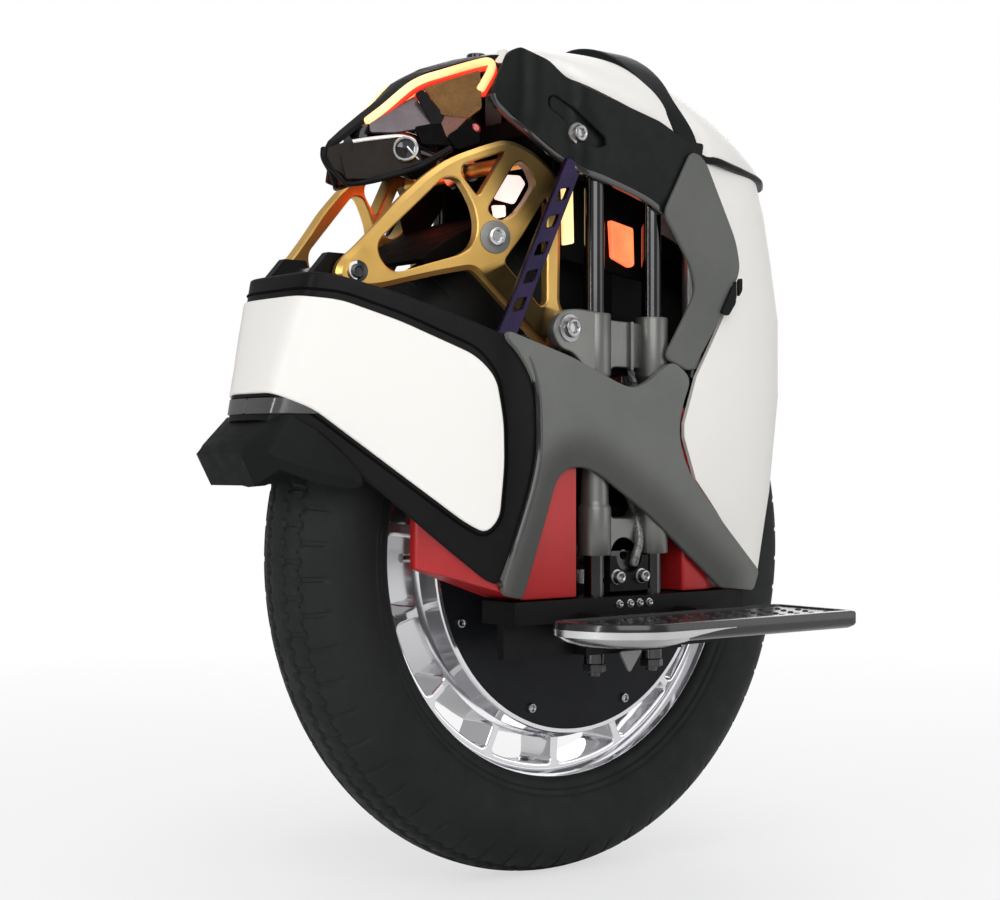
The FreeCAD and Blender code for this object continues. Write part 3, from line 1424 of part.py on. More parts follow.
def build_fender():
    across = d.fender_half_width + d.overrun
    solid = fender_block(0)
    hollow = fender_block(d.shell_wall.value)
    side = side_prism(
        FENDER_SIDE_SHARES, -d.fender_rear, -d.fender_centre + d.seat_gap, d.fender_low, d.fender_high, across,
    )
    radius = (d.tyre_radius + d.fender_gap).value
    half = d.fender_slot_half.value
    travel = d.travel.value
    low = Part.makeCylinder(radius, half * 2, Vector(0, -half, d.tyre_radius.value), Vector(0, 1, 0))
    high = low.translated(Vector(0, 0, travel))
    middle = Part.makeBox(radius * 2, half * 2, travel, Vector(-radius, -half, d.tyre_radius.value))
    sweep = low.fuse([middle, high])
    open_front = Part.makeBox(
        d.shell_wall.value, across.value * 2, d.fender_high.value,
        Vector(-d.fender_centre.value - d.shell_wall.value / 2, -across.value + d.overrun.value + d.shell_wall.value, 0),
    )
    shell = solid.cut(hollow).common(side).cut(sweep)
    node(shaped("rear_fender", keep_walls(shell, open_front)))
    window = Part.makeBox(
        d.fender_rear.value, d.tail_lamp_half.value * 2, (d.tail_lamp_high - d.tail_lamp_low).value,
        Vector(-d.fender_rear.value - d.fender_centre.value, -d.tail_lamp_half.value, d.tail_lamp_low.value),
    )
    seat = fender_block(-d.seat_gap.value)
    lamp = fender_block(-d.tail_lamp_depth.value).cut(seat).common(window)
    node(shaped("tail_lamp", lamp))


def keep_walls(shell, front):
    """The fender without the flat web that closes its open front."""
    opened = shell.cut(front)
    return max(opened.Solids, key=lambda solid: solid.Volume)


def build_controller():
    rear = -d.bridge_rear
    node(box(
        "controller",
        (rear - d.controller_length, -d.controller_half_width, d.bridge_plate_low - d.controller_drop),
        (rear, d.controller_half_width, d.bridge_plate_low + d.bridge_plate_height),
    ))


def build_lamps():
    thickness = d.glow_inner + d.glow_thickness
    top = d.bridge_pad_top - d.bridge_pad_height
    lamps = []
    for name, x in (("front", d.glow_front_x), ("rear", -d.glow_rear_x)):
        lamp = box(f"glow_{name}", (x, d.glow_inner, d.glow_low), (x + d.glow_width, thickness, top))
        lamps += [lamp, mirrored(f"glow_far_{name}", lamp)]
    node(grouped("glow_lamps", lamps))


def build_handle():
    def section(half_width, high):
        rise = high - d.hoop_low
        half = [(half_width * u, d.hoop_low + rise * v) for u, v in ROOF_SECTION_SHARES]
        return half, [(-y, z) for y, z in reversed(half)]

    near, far = section(d.hoop_half_width, d.hoop_high)
    near_in, far_in = section(d.hoop_half_width - d.hoop_thickness, d.hoop_high - d.hoop_thickness)
    inner = near_in + far_in
    hoop = padded("hoop", "YZ_Plane", [near + far + list(reversed(inner))], d.handle_half_depth * 2)
    place(hoop, x=-d.handle_x - d.handle_half_depth)
    node(hoop)
    hoop.Label = "handle_grip"

    leg = cylinder(
        "handle_leg", d.leg_radius, d.hoop_low - d.leg_bottom, -d.handle_x, d.handle_y, d.leg_bottom,
    )
    pair("handle_legs", leg)
    bore = d.leg_radius + d.running_clearance
    length = d.bridge_pad_top - d.guide_bottom
    sleeve = cylinder("guide_sleeve", bore + d.guide_wall, length, -d.handle_x, d.handle_y, d.guide_bottom)
    hole = cylinder("guide_bore", bore, length, -d.handle_x, d.handle_y, d.guide_bottom)
    pair("handle_guides", cut("handle_guide", sleeve, [hole]))


def build_charge_port():
    face = d.panel_inner + d.panel_thickness
    socket = cylinder(
        "port_socket", d.port_radius, face - d.port_inner, -d.port_x, d.port_inner, d.port_z, TURN_TO_Y,
    )
    bore = cylinder(
        "port_bore_cut", d.port_bore, d.port_bore_depth, -d.port_x, face - d.port_bore_depth, d.port_z, TURN_TO_Y,
    )
    node(cut("charge_port", socket, [bore]))
    low = face + d.seat_gap
    edge = -d.port_x - d.cap_half_x
    leaf = box(
        "cap_leaf",
        (edge, low, d.port_z - d.cap_half_z),
        (d.cap_half_x - d.port_x, low + d.cap_thickness, d.port_z + d.cap_half_z),
    )
    radius = d.cap_thickness / 2
    barrel = cylinder("cap_barrel", radius, d.cap_half_z * 2, edge, low + radius, d.port_z - d.cap_half_z)
    node(fused("charge_cap", [leaf, barrel]))


def write_nodes():
    doc.recompute()
    for item in doc.Objects:
        if "Invalid" in item.State or "Error" in item.State:
            raise RuntimeError(f"{item.Label} did not build: {item.State}")
    for item in nodes:
        if item.Shape.isNull() or not item.Shape.isValid() or not item.Shape.Solids:
            raise RuntimeError(f"{item.Label} has no sound solid")
    os.makedirs("parts", exist_ok=True)
    for item in nodes:
        item.Shape.exportStep(f"parts/{item.Label}.step")
        print(item.Label, len(item.Shape.Solids), round(item.Shape.Volume / 1000, 2), "cm3")
    print(len(nodes), "nodes")


build_wheel()
build_motor()
build_sliders()
build_mudguard()
build_motor_cable()
build_frame()
build_pedals()
build_batteries()
build_side_panels()
build_nose()
build_arm()
shock_bracket_blank = build_shock()
build_struts()
build_roofs(shock_bracket_blank)
build_fender()
build_controller()
build_lamps()
build_handle()
build_charge_port()
write_nodes()
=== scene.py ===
import logging
import math
from dataclasses import dataclass, field
from enum import Enum
from typing import Callable, Sequence

import bmesh
import bpy
import numpy as np
from mathutils import Matrix, Vector
from mathutils.geometry import delaunay_2d_cdt


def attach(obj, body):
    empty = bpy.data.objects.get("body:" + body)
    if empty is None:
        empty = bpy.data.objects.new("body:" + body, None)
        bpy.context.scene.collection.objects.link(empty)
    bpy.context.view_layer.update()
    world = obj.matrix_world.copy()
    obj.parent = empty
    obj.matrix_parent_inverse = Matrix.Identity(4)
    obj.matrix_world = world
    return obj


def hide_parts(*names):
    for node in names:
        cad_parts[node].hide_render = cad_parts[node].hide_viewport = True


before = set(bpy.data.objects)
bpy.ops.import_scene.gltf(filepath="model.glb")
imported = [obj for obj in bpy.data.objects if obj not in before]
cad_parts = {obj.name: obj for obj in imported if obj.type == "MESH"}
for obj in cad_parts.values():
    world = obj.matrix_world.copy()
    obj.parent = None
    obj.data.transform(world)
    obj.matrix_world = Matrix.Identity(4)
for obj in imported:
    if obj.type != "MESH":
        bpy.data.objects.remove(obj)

logging.basicConfig(level=logging.INFO, format="%(message)s")
log = logging.getLogger("unicycle")

Array = np.ndarray
Colour = tuple[float, float, float]
Socket = bpy.types.NodeSocket
MM = 0.001
AHEAD, SIDE, UP = (1, 0, 0), (0, 1, 0), (0, 0, 1)
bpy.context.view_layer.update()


@dataclass
class Surface:
    """Points in millimetres with the quads and triangles over them."""

    points: Array
    quads: Array = field(default_factory=lambda: np.zeros((0, 4), int))
    triangles: Array = field(default_factory=lambda: np.zeros((0, 3), int))

    def mirrored(self) -> "Surface":
        """The same surface on the other side of the middle plane, y to minus y."""
        return Surface(self.points * (1, -1, 1), self.quads[:, ::-1], self.triangles[:, ::-1])

    def both(self) -> "Surface":
        """The surface together with its mirror image."""
        return joined(self, self.mirrored())


def joined(*parts: Surface) -> Surface:
    """Several surfaces as one.

    Args:
        parts: the surfaces to put together, each keeping its own points.

    Returns:
        One surface with all points and faces.
    """
    starts = np.cumsum([0] + [len(part.points) for part in parts[:-1]])
    return Surface(
        np.concatenate([part.points for part in parts]),
        np.concatenate([part.quads + start for part, start in zip(parts, starts)]),
        np.concatenate([part.triangles + start for part, start in zip(parts, starts)]),
    )


def grid_quads(rows: int, columns: int, wrap_rows: bool = False, wrap_columns: bool = False) -> Array:
    """Quads over a grid of points that is stored row by row.

    Args:
        rows: number of rows.
        columns: number of points in a row.
        wrap_rows: whether the last row joins the first.
        wrap_columns: whether the last column joins the first.

    Returns:
        The corner numbers of each quad.
    """
    i = np.arange(rows if wrap_rows else rows - 1)[:, None]
    j = np.arange(columns if wrap_columns else columns - 1)[None, :]
    here, there = i * columns, (i + 1) % rows * columns
    beside = (j + 1) % columns
    return np.stack([here + j, here + beside, there + beside, there + j], -1).reshape(-1, 4)


def sheet_grid(points: Array, wrap_rows: bool = False, wrap_columns: bool = False) -> Surface:
    """A surface over a grid of points given as rows by columns by three."""
    rows, columns = points.shape[:2]
    return Surface(points.reshape(-1, 3), grid_quads(rows, columns, wrap_rows, wrap_columns))


def unit(vectors: Array) -> Array:
    """Vectors scaled to length one along the last axis."""
    return vectors / np.maximum(np.linalg.norm(vectors, axis=-1, keepdims=True), 1e-12)


def smooth_step(low: float, high: float, value: Array) -> Array:
    """Zero below low, one above high, and 3t squared less 2t cubed between."""
    t = np.clip((value - low) / (high - low), 0, 1)
    return t * t * (3 - 2 * t)


def rounded(corners: Sequence, reach: float | Sequence[float] = 6, steps: int = 6) -> Array:
    """A closed outline whose corners are quadratic curves.

    Each corner c with cut points a and b becomes (1-t)^2 a + 2t(1-t) c + t^2 b.

    Args:
        corners: corner points in the plane, in order.
        reach: distance from a corner to its cut points, one value or one for each corner.
        steps: points on each corner.

    Returns:
        The outline's points.
    """
    c = np.asarray(corners, float)
    back, ahead = np.roll(c, 1, 0) - c, np.roll(c, -1, 0) - c
    near = np.minimum(np.linalg.norm(back, axis=1), np.linalg.norm(ahead, axis=1))
    cut = np.minimum(np.broadcast_to(reach, len(c)), near * 0.48)[:, None]
    a, b = c + unit(back) * cut, c + unit(ahead) * cut
    t = np.linspace(0, 1, steps)[None, :, None]
    curve = (1 - t) ** 2 * a[:, None] + 2 * t * (1 - t) * c[:, None] + t ** 2 * b[:, None]
    return curve.reshape(-1, 2)


def wound(loop: Array, sense: int) -> Array:
    """The loop run so that its signed area has the given sign."""
    x, y = loop.T
    area = np.sum(x * np.roll(y, -1) - y * np.roll(x, -1))
    return loop if area * sense > 0 else loop[::-1]


def inset(loop: Array, distance: float) -> Array:
    """The loop moved to its left by a distance, with mitred corners."""
    before = unit(loop - np.roll(loop, 1, 0))
    after = unit(np.roll(loop, -1, 0) - loop)
    left_before = np.stack([-before[:, 1], before[:, 0]], 1)
    left_after = np.stack([-after[:, 1], after[:, 0]], 1)
    mitre = unit(left_before + left_after)
    stretch = 1 / np.clip(np.sum(mitre * left_after, 1), 0.5, 1)
    return loop + mitre * (distance * stretch)[:, None]


def inside(points: Array, loops: Sequence[Array]) -> Array:
    """Whether points lie inside the loops, by counting edges crossed by a ray."""
    x, y = points[:, :1], points[:, 1:]
    crossings = np.zeros(len(points), int)
    for loop in loops:
        x0, y0 = loop.T
        x1, y1 = np.roll(loop, -1, 0).T
        spans = (y0 > y) != (y1 > y)
        rise = np.where(np.abs(y1 - y0) < 1e-12, 1e-12, y1 - y0)
        crossings += np.sum(spans & (x < x0 + (y - y0) / rise * (x1 - x0)), 1)
    return crossings % 2 == 1


def filled(loops: Sequence[Array], spacing: float) -> tuple[Array, Array]:
    """Triangles that fill an outline around its holes.

    Args:
        loops: the outline and then the holes.
        spacing: distance between the points added inside, or zero for none.

    Returns:
        The inner points, and triangles numbered over the loops' points followed by the inner points.
    """
    border = np.concatenate(loops)
    extra = np.zeros((0, 2))
    if spacing:
        low, high = border.min(0), border.max(0)
        u, v = np.meshgrid(np.arange(low[0], high[0], spacing), np.arange(low[1], high[1], spacing))
        extra = np.stack([u.ravel(), v.ravel()], 1)
        shrunk = [inset(loop, spacing * 0.5) for loop in loops]
        extra = extra[inside(extra, loops) & inside(extra, shrunk)]
        gaps = np.linalg.norm(extra[:, None] - border[None], axis=2).min(1) if len(extra) else np.zeros(0)
        extra = extra[gaps > spacing * 0.4]
    starts = np.cumsum([0] + [len(loop) for loop in loops])
    edges = [
        (
            start + i, start + (i + 1) % len(loop),
        ) for loop, start in zip(loops, starts) for i in range(len(loop))
    ]
    coords = [Vector(point) for point in np.concatenate([border, extra])]
    spots, _, faces, origins, _, _ = delaunay_2d_cdt(coords, edges, [], 0, 1e-9, True)
    crossed = [i for i, origin in enumerate(origins) if not origin]
    fresh = dict(zip(crossed, range(len(coords), len(coords) + len(crossed))))
    first = [origin[0] if origin else fresh[i] for i, origin in enumerate(origins)]
    if crossed:
        log.info("outline crosses itself near %s", [tuple(round(v, 1) for v in spots[i]) for i in crossed])
        extra = np.concatenate([extra, [tuple(spots[i]) for i in crossed]])
    corners = np.array([[first[i] for i in face] for face in faces], int)
    spread = np.concatenate([border, extra])[corners]
    run, rise = spread[:, 1] - spread[:, 0], spread[:, 2] - spread[:, 0]
    area = np.abs(run[:, 0] * rise[:, 1] - run[:, 1] * rise[:, 0])
    longest = np.linalg.norm(spread - np.roll(spread, 1, 1), axis=2).max(1)
    return extra, corners[inside(spread.mean(1), loops) & (area > longest * 1e-3)]


Place = Callable[[Array, Array, Array], Array]
Height = Callable[[Array, Array], Array]


def level(height: float) -> Height:
    """A face at one height all over."""
    return lambda u, v: np.full(len(u), float(height))


def plate(
    outline: Array, holes: Sequence[Array], back: Height, front: Height, place: Place,
    fillet: float = 1.0, spacing: float = 0.0, facets: int = 3, edge: float = 0.0,
) -> Surface:
    """A solid plate with rounded rims, flat or with a relief.

    Each loop is carried from the back to the front in rings. Along the fillet the ring at angle p is
    inset by f(1 - cos p) and lies f(1 - sin p) under the face. One more ring lies a little way in on
    each face, so that the faces keep their shading. The faces are filled with triangles.

    Args:
        outline: closed outline in the plate's own plane.
        holes: closed outlines of its openings.
        back: height of the back face over the plane.
        front: height of the front face over the plane.
        place: takes plane coordinates u, v and height w to points in space.
        fillet: radius of the rounding at both faces.
        spacing: distance between points on the front face, zero for a flat one.
        facets: steps of the rounding, where one step is a plain bevel.
        edge: radius of the rounding at the front of the outline, zero for the same as elsewhere.

    Returns:
        The closed surface.
    """
    loops = [wound(np.asarray(outline), 1)] + [wound(np.asarray(hole), -1) for hole in holes]
    angles = np.linspace(0, math.pi / 2, facets + 1)
    margin = fillet * 0.35
    sides = [(math.pi / 2, -1, margin)] + [(a, -1, 0.0) for a in angles[::-1]]
    sides += [(a, 1, 0.0) for a in angles] + [(math.pi / 2, 1, margin)]
    points, quads, ends = [], [], {-1: [], 1: []}
    total = 0
    for number, loop in enumerate(loops):
        rings = []
        for angle, side, more in sides:
            reach = edge if edge and side > 0 and number == 0 else fillet
            ring = inset(loop, reach * (1 - math.cos(angle)) + more)
            sink = reach * (1 - math.sin(angle))
            height = front(*ring.T) - sink if side > 0 else back(*ring.T) + sink
            rings.append(np.column_stack([ring, height]))
        size = len(loop)
        points += rings
        quads.append(grid_quads(len(sides), size, wrap_columns=True) + total)
        ends[-1].append((rings[0][:, :2], np.arange(size) + total))
        ends[1].append((rings[-1][:, :2], np.arange(size) + total + size * (len(sides) - 1)))
        total += size * len(sides)
    triangles = []
    for side, face in ((-1, back), (1, front)):
        extra, corners = filled([loop for loop, _ in ends[side]], spacing)
        numbers = np.concatenate([index for _, index in ends[side]] + [np.arange(len(extra)) + total])
        total += len(extra)
        points.append(np.column_stack([extra, face(*extra.T)]) if len(extra) else np.zeros((0, 3)))
        triangles.append(numbers[corners])
    u, v, w = np.concatenate(points).T
    return Surface(place(u, v, w), np.concatenate(quads), np.concatenate(triangles))


def side_place(u: Array, v: Array, w: Array) -> Array:
    """Plane coordinates are x and z, and the height is y."""
    return np.stack([u, w, v], 1)


def top_place(u: Array, v: Array, w: Array) -> Array:
    """Plane coordinates are x and y, and the height is z."""
    return np.stack([u, v, w], 1)


def across(axis: Sequence[float]) -> tuple[Array, Array, Array]:
    """An axis of length one with two directions square to it."""
    a = unit(np.asarray(axis, float))
    helper = np.array([0.0, 0.0, 1.0]) if abs(a[2]) < 0.9 else np.array([1.0, 0.0, 0.0])
    e = unit(np.cross(helper, a))
    return a, e, np.cross(a, e)


def slab(corners: Sequence, thick: float, reach: float = 2.0) -> Surface:
    """A thin plate over corners in space, laid on their middle plane.

    The plane's normal is the sum of the cross products of neighbouring corners about their middle.

    Args:
        corners: corner points in space, in order.
        thick: thickness of the plate.
        reach: rounding of its corners.

    Returns:
        The closed surface.
    """
    c = np.asarray(corners, float)
    middle = c.mean(0)
    normal, e, f = across(np.cross(c - middle, np.roll(c, -1, 0) - middle).sum(0))

    def place(u: Array, v: Array, w: Array) -> Array:
        return middle + u[:, None] * e + v[:, None] * f + w[:, None] * normal

    flat = np.stack([(c - middle) @ e, (c - middle) @ f], 1)
    return plate(
        rounded(flat, reach), [], level(-thick / 2), level(thick / 2), place, min(0.3, thick * 0.2),
    )


def turned(
    profile: Sequence, centre: Sequence[float], axis: Sequence[float], steps: int = 48,
    ring: bool = False, hex_rows: Sequence[int] = (),
) -> Surface:
    """A profile of radius and height turned about an axis.

    Each row is centre + h a + r (cos t e + sin t f). On a hexagonal row r is divided by the cosine of
    the angle from the middle of the flat, which makes six flats.

    Args:
        profile: pairs of radius and height along the axis.
        centre: point on the axis at height zero.
        axis: direction of the axis.
        steps: points round the axis.
        ring: whether the last pair joins the first.
        hex_rows: numbers of the rows with six flats.

    Returns:
        The surface of revolution.
    """
    pairs = np.asarray(profile, float)
    a, e, f = across(axis)
    t = np.linspace(0, 2 * math.pi, steps, endpoint=False)
    radius = np.repeat(pairs[:, :1], steps, 1)
    flat = 1 / np.cos(np.mod(t, math.pi / 3) - math.pi / 6)
    for row in hex_rows:
        radius[row] *= flat
    turn = np.cos(t)[:, None] * e + np.sin(t)[:, None] * f
    points = np.asarray(centre, float) + pairs[:, 1, None, None] * a + radius[..., None] * turn
    return sheet_grid(points, wrap_rows=ring, wrap_columns=True)


def socket_bolt(centre: Sequence[float], axis: Sequence[float], radius: float, height: float) -> Surface:
    """A bolt head with a rounded rim and a hexagonal recess, standing on centre."""
    key = radius * 0.5
    chamfer = radius * 0.14
    profile = [
        (0, 0), (radius, 0), (radius, height - chamfer * 2),
        (radius - chamfer * 0.4, height - chamfer * 0.6),
        (radius - chamfer * 1.4, height), (key * 1.35, height), (key * 1.15, height - chamfer * 0.5),
        (key, height - chamfer), (key, height * 0.4), (0, height * 0.3),
    ]
    return turned(profile, centre, axis, 36, hex_rows=(7, 8))


def washer(centre: Sequence[float], axis: Sequence[float], outer: float, height: float) -> Surface:
    """A flat disc with rounded edges."""
    edge = min(height * 0.45, outer * 0.1)
    profile = [
        (0, 0), (outer, 0), (outer, height - edge), (outer - edge * 0.3, height - edge * 0.3),
        (outer - edge, height), (0, height),
    ]
    return turned(profile, centre, axis, 40)


@dataclass(frozen=True)
class Slice:
    """A flat plate: corners in its plane, their rounding, its two heights and its fillet."""

    corners: Sequence
    reach: float
    low: float
    high: float
    fillet: float

    def made(self, place: Place = side_place) -> Surface:
        """The closed plate in the given plane."""
        outline = rounded(self.corners, self.reach)
        return plate(outline, [], level(self.low), level(self.high), place, self.fillet)


@dataclass(frozen=True)
class Bolt:
    """A bolt head on its washer, by the radius and height of each."""

    outer: float
    thick: float
    head: float
    tall: float

    def on(self, spot: Sequence[float], axis: Sequence[float] = SIDE) -> Surface:
        """The washer at a spot, with the head standing on it."""
        top = np.asarray(spot, float) + np.asarray(axis, float) * self.thick
        return joined(
            washer(spot, axis, self.outer, self.thick), socket_bolt(top, axis, self.head, self.tall),
        )


def shell(outer: Array, inner: Array) -> Surface:
    """A closed shell between two grids of points.

    Args:
        outer: points of the outer face, as rows by columns by three.
        inner: the points under them.

    Returns:
        The surface, closed along all four edges.
    """
    rows, columns = outer.shape[:2]
    surface = sheet_grid(np.concatenate([outer, inner[:, ::-1]], 1), wrap_columns=True)
    start = np.array([[0], [rows - 1]]) * columns * 2
    step = np.arange(columns - 1)
    i, j = start + step, start + 2 * columns - 1 - step
    surface.quads = np.concatenate([surface.quads, np.stack([i, i + 1, j - 1, j], -1).reshape(-1, 4)])
    return surface


def capped(rows: Array) -> Surface:
    """A surface over closed rows of points, whose first and last rows are closed at their middles."""
    ends = [np.repeat(row.mean(0)[None, None], rows.shape[1], 1) for row in (rows[0], rows[-1])]
    return sheet_grid(np.concatenate([ends[0], rows, ends[1]]), wrap_columns=True)


def curve_through(points: Sequence, steps: int = 8) -> Array:
    """A smooth open line through points, each span a cubic with slopes from the neighbours.

    Args:
        points: points that the line passes.
        steps: points on each span.

    Returns:
        Points along the line.
    """
    p = np.asarray(points, float)
    ring = np.concatenate([2 * p[:1] - p[1:2], p, 2 * p[-1:] - p[-2:-1]])
    a, b, c, d = ring[:-3, None], ring[1:-2, None], ring[2:-1, None], ring[3:, None]
    t = np.linspace(0, 1, steps, endpoint=False)[None, :, None]
    spans = 0.5 * (
        2 * b + (c - a) * t + (2 * a - 5 * b + 4 * c - d) * t ** 2 + (3 * b - a - 3 * c + d) * t ** 3
    )
    return np.concatenate([spans.reshape(-1, p.shape[1]), p[-1:]])


def swept(
    path: Array, section: Array, up: Sequence[float] = (0, 0, 1), closed: bool = False,
    scale: Array | None = None,
) -> Surface:
    """A closed section carried along a path, with its ends closed to a point.

    A point of the section at (s, t) becomes path + s side + t rise, where side and rise are square to
    the path and rise is nearest to up.

    Args:
        path: points along the middle line.
        section: closed section in the plane of side and rise.
        up: direction that rise keeps nearest to.
        closed: whether the path is a loop.
        scale: size of the section at each point of the path.

    Returns:
        The closed surface.
    """
    ahead = np.roll(path, -1, 0) - np.roll(path, 1, 0)
    if not closed:
        ahead[0], ahead[-1] = path[1] - path[0], path[-1] - path[-2]
    ahead = unit(ahead)
    side = unit(np.cross(np.asarray(up, float), ahead))
    rise = np.cross(ahead, side)
    size = np.ones(len(path)) if scale is None else scale
    rings = path[:, None] + size[:, None, None] * (
        section[None, :, :1] * side[:, None] + section[None, :, 1:] * rise[:, None]
    )
    if not closed:
        rings = np.concatenate(
            [np.repeat(path[:1, None], len(section), 1), rings, np.repeat(path[-1:, None], len(section), 1)]
        )
    return sheet_grid(rings, wrap_rows=closed, wrap_columns=True)


def circle(radius: float, sides: int = 12) -> Array:
    """Points of a circle in the plane."""
    t = np.linspace(0, 2 * math.pi, sides, endpoint=False)
    return radius * np.stack([np.cos(t), np.sin(t)], 1)


def rod(path: Array, radius: float, sides: int = 12, up: Sequence[float] = (0, 0, 1)) -> Surface:
    """A round bar along a path with domed ends."""
    first, last = unit(path[0] - path[1]), unit(path[-1] - path[-2])
    dome = np.radians([80, 50, 20])
    head = path[0] + first * radius * np.sin(dome)[:, None] * 0.7
    tail = path[-1] + last * radius * np.sin(dome[::-1])[:, None] * 0.7
    line = np.concatenate([head, path, tail])
    scale = np.concatenate([np.cos(dome), np.ones(len(path)), np.cos(dome[::-1])])
    return swept(line, circle(radius, sides), up, scale=scale)


class Grain(Enum):
    """The fine structure that a finish shows."""

    MOULDED = (1, 1, 1)
    BRUSHED_UP = (14, 14, 0.5)
    TURNED_ACROSS = (14, 0.5, 14)
    CAST = (0.5, 0.5, 0.5)


class Nodes:
    """A small builder for one material's nodes."""

    def __init__(self, name: str) -> None:
        """Start a material with its surface shader."""
        self.material = bpy.data.materials.new(name)
        self.material.use_nodes = True
        self.tree = self.material.node_tree
        self.shader = self.tree.nodes["Principled BSDF"]
        self.place = self.add("ShaderNodeTexCoord").outputs["Object"]

    def add(self, kind: str, **values: object) -> bpy.types.Node:
        """A new node with its properties set."""
        node = self.tree.nodes.new(kind)
        for key, value in values.items():
            setattr(node, key, value)
        return node

    def link(self, source: Socket, target: Socket) -> None:
        """Join an output to an input."""
        self.tree.links.new(source, target)

    def stretched(self, scale: Sequence[float]) -> Socket:
        """Object coordinates scaled along each axis."""
        node = self.add("ShaderNodeMapping")
        node.inputs["Scale"].default_value = tuple(scale)
        self.link(self.place, node.inputs["Vector"])
        return node.outputs["Vector"]

    def noise(self, vector: Socket, scale: float, detail: float = 3, rough: float = 0.55) -> Socket:
        """A cloud pattern's value over the given coordinates."""
        node = self.add("ShaderNodeTexNoise")
        node.inputs["Scale"].default_value = scale
        node.inputs["Detail"].default_value = detail
        node.inputs["Roughness"].default_value = rough
        self.link(vector, node.inputs["Vector"])
        return node.outputs["Fac"]

    def spread(
        self, value: Socket, low: float, high: float, start: float = 0.3, end: float = 0.7,
    ) -> Socket:
        """A value taken from one span to another."""
        node = self.add("ShaderNodeMapRange")
        for name, number in (("From Min", start), ("From Max", end), ("To Min", low), ("To Max", high)):
            node.inputs[name].default_value = number
        self.link(value, node.inputs["Value"])
        return node.outputs["Result"]

    def ramp(self, value: Socket, stops: Sequence[tuple[float, Colour]]) -> Socket:
        """A colour read from a row of stops."""
        node = self.add("ShaderNodeValToRGB")
        row = node.color_ramp.elements
        while len(row) < len(stops):
            row.new(0.5)
        for element, (place, colour) in zip(row, stops):
            element.position = place
            element.color = (*colour, 1)
        self.link(value, node.inputs["Fac"])
        return node.outputs["Color"]

    def bump(self, value: Socket, depth: float, strength: float) -> None:
        """Fine relief on the surface."""
        node = self.add("ShaderNodeBump")
        node.inputs["Strength"].default_value = strength
        node.inputs["Distance"].default_value = depth * MM
        self.link(value, node.inputs["Height"])
        self.link(node.outputs["Normal"], self.shader.inputs["Normal"])

    def set(self, **values: object) -> None:
        """Plain values on the shader's own sockets, with _ for a space."""
        for key, value in values.items():
            self.shader.inputs[key.replace("_", " ")].default_value = value


@dataclass(frozen=True)
class Finish:
    """A surface: two tones that drift into each other, a gloss that varies, and a fine grain."""

    name: str
    dark: Colour
    light: Colour
    gloss: tuple[float, float] = (0.4, 0.55)
    metal: float = 0.0
    grain: Grain = Grain.MOULDED
    drift: float = 18.0
    size: float = 1400.0
    relief: float = 0.05
    strength: float = 0.25
    coat: float = 0.0
    shine: float = 0.5

    def nodes(self) -> Nodes:
        """The finish's nodes: slow noise for tone, stretched noise for gloss and relief."""
        n = Nodes(self.name)
        slow = n.noise(n.place, self.drift, 4, 0.6)
        n.link(n.ramp(slow, ((0.3, self.dark), (0.72, self.light))), n.shader.inputs["Base Color"])
        fine = n.noise(n.stretched(self.grain.value), self.size, 2, 0.5)
        cloud = n.noise(n.stretched(self.grain.value), self.drift * 6, 3, 0.6)
        n.link(n.spread(cloud, *self.gloss), n.shader.inputs["Roughness"])
        n.bump(fine, self.relief, self.strength)
        n.set(Metallic=self.metal, Specular_IOR_Level=self.shine)
        if self.coat:
            n.set(Coat_Weight=self.coat, Coat_Roughness=0.08)
        return n

    def material(self) -> bpy.types.Material:
        """The finish as a material, made once."""
        known = bpy.data.materials.get(self.name)
        return known if known else self.nodes().material


@dataclass(frozen=True)
class Shaded(Finish):
    """A finish with painted shade: it darkens where the piece's own shade value is low."""

    def nodes(self) -> Nodes:
        """The plain finish with its tone multiplied by the shade attribute, which paints shade."""
        n = super().nodes()
        base = n.shader.inputs["Base Color"].links[0].from_socket
        shade = n.add("ShaderNodeAttribute", attribute_name="shade")
        mix = n.add("ShaderNodeMix", data_type="RGBA", blend_type="MULTIPLY")
        mix.inputs["Factor"].default_value = 1.0
        n.link(base, mix.inputs[6])
        n.link(shade.outputs["Fac"], mix.inputs[7])
        n.link(mix.outputs[2], n.shader.inputs["Base Color"])
        return n


@dataclass(frozen=True)
class Glow(Finish):
    """A lit diffuser: two tones of light that drift along the piece."""

    power: float = 3.0

    def nodes(self) -> Nodes:
        """The plain finish with its tones given out as light."""
        n = super().nodes()
        base = n.shader.inputs["Base Color"].links[0].from_socket
        n.link(base, n.shader.inputs["Emission Color"])
        n.set(Emission_Strength=self.power)
        return n


@dataclass(frozen=True)
class Rubber(Finish):
    """Tyre rubber: dull tread grain with a trace of dust in its tone."""

    def nodes(self) -> Nodes:
        """The plain finish with pores added to the grain."""
        n = super().nodes()
        pores = n.add("ShaderNodeTexVoronoi")
        pores.inputs["Scale"].default_value = self.size * 0.4
        n.link(n.place, pores.inputs["Vector"])
        n.bump(pores.outputs["Distance"], self.relief, self.strength)
        return n


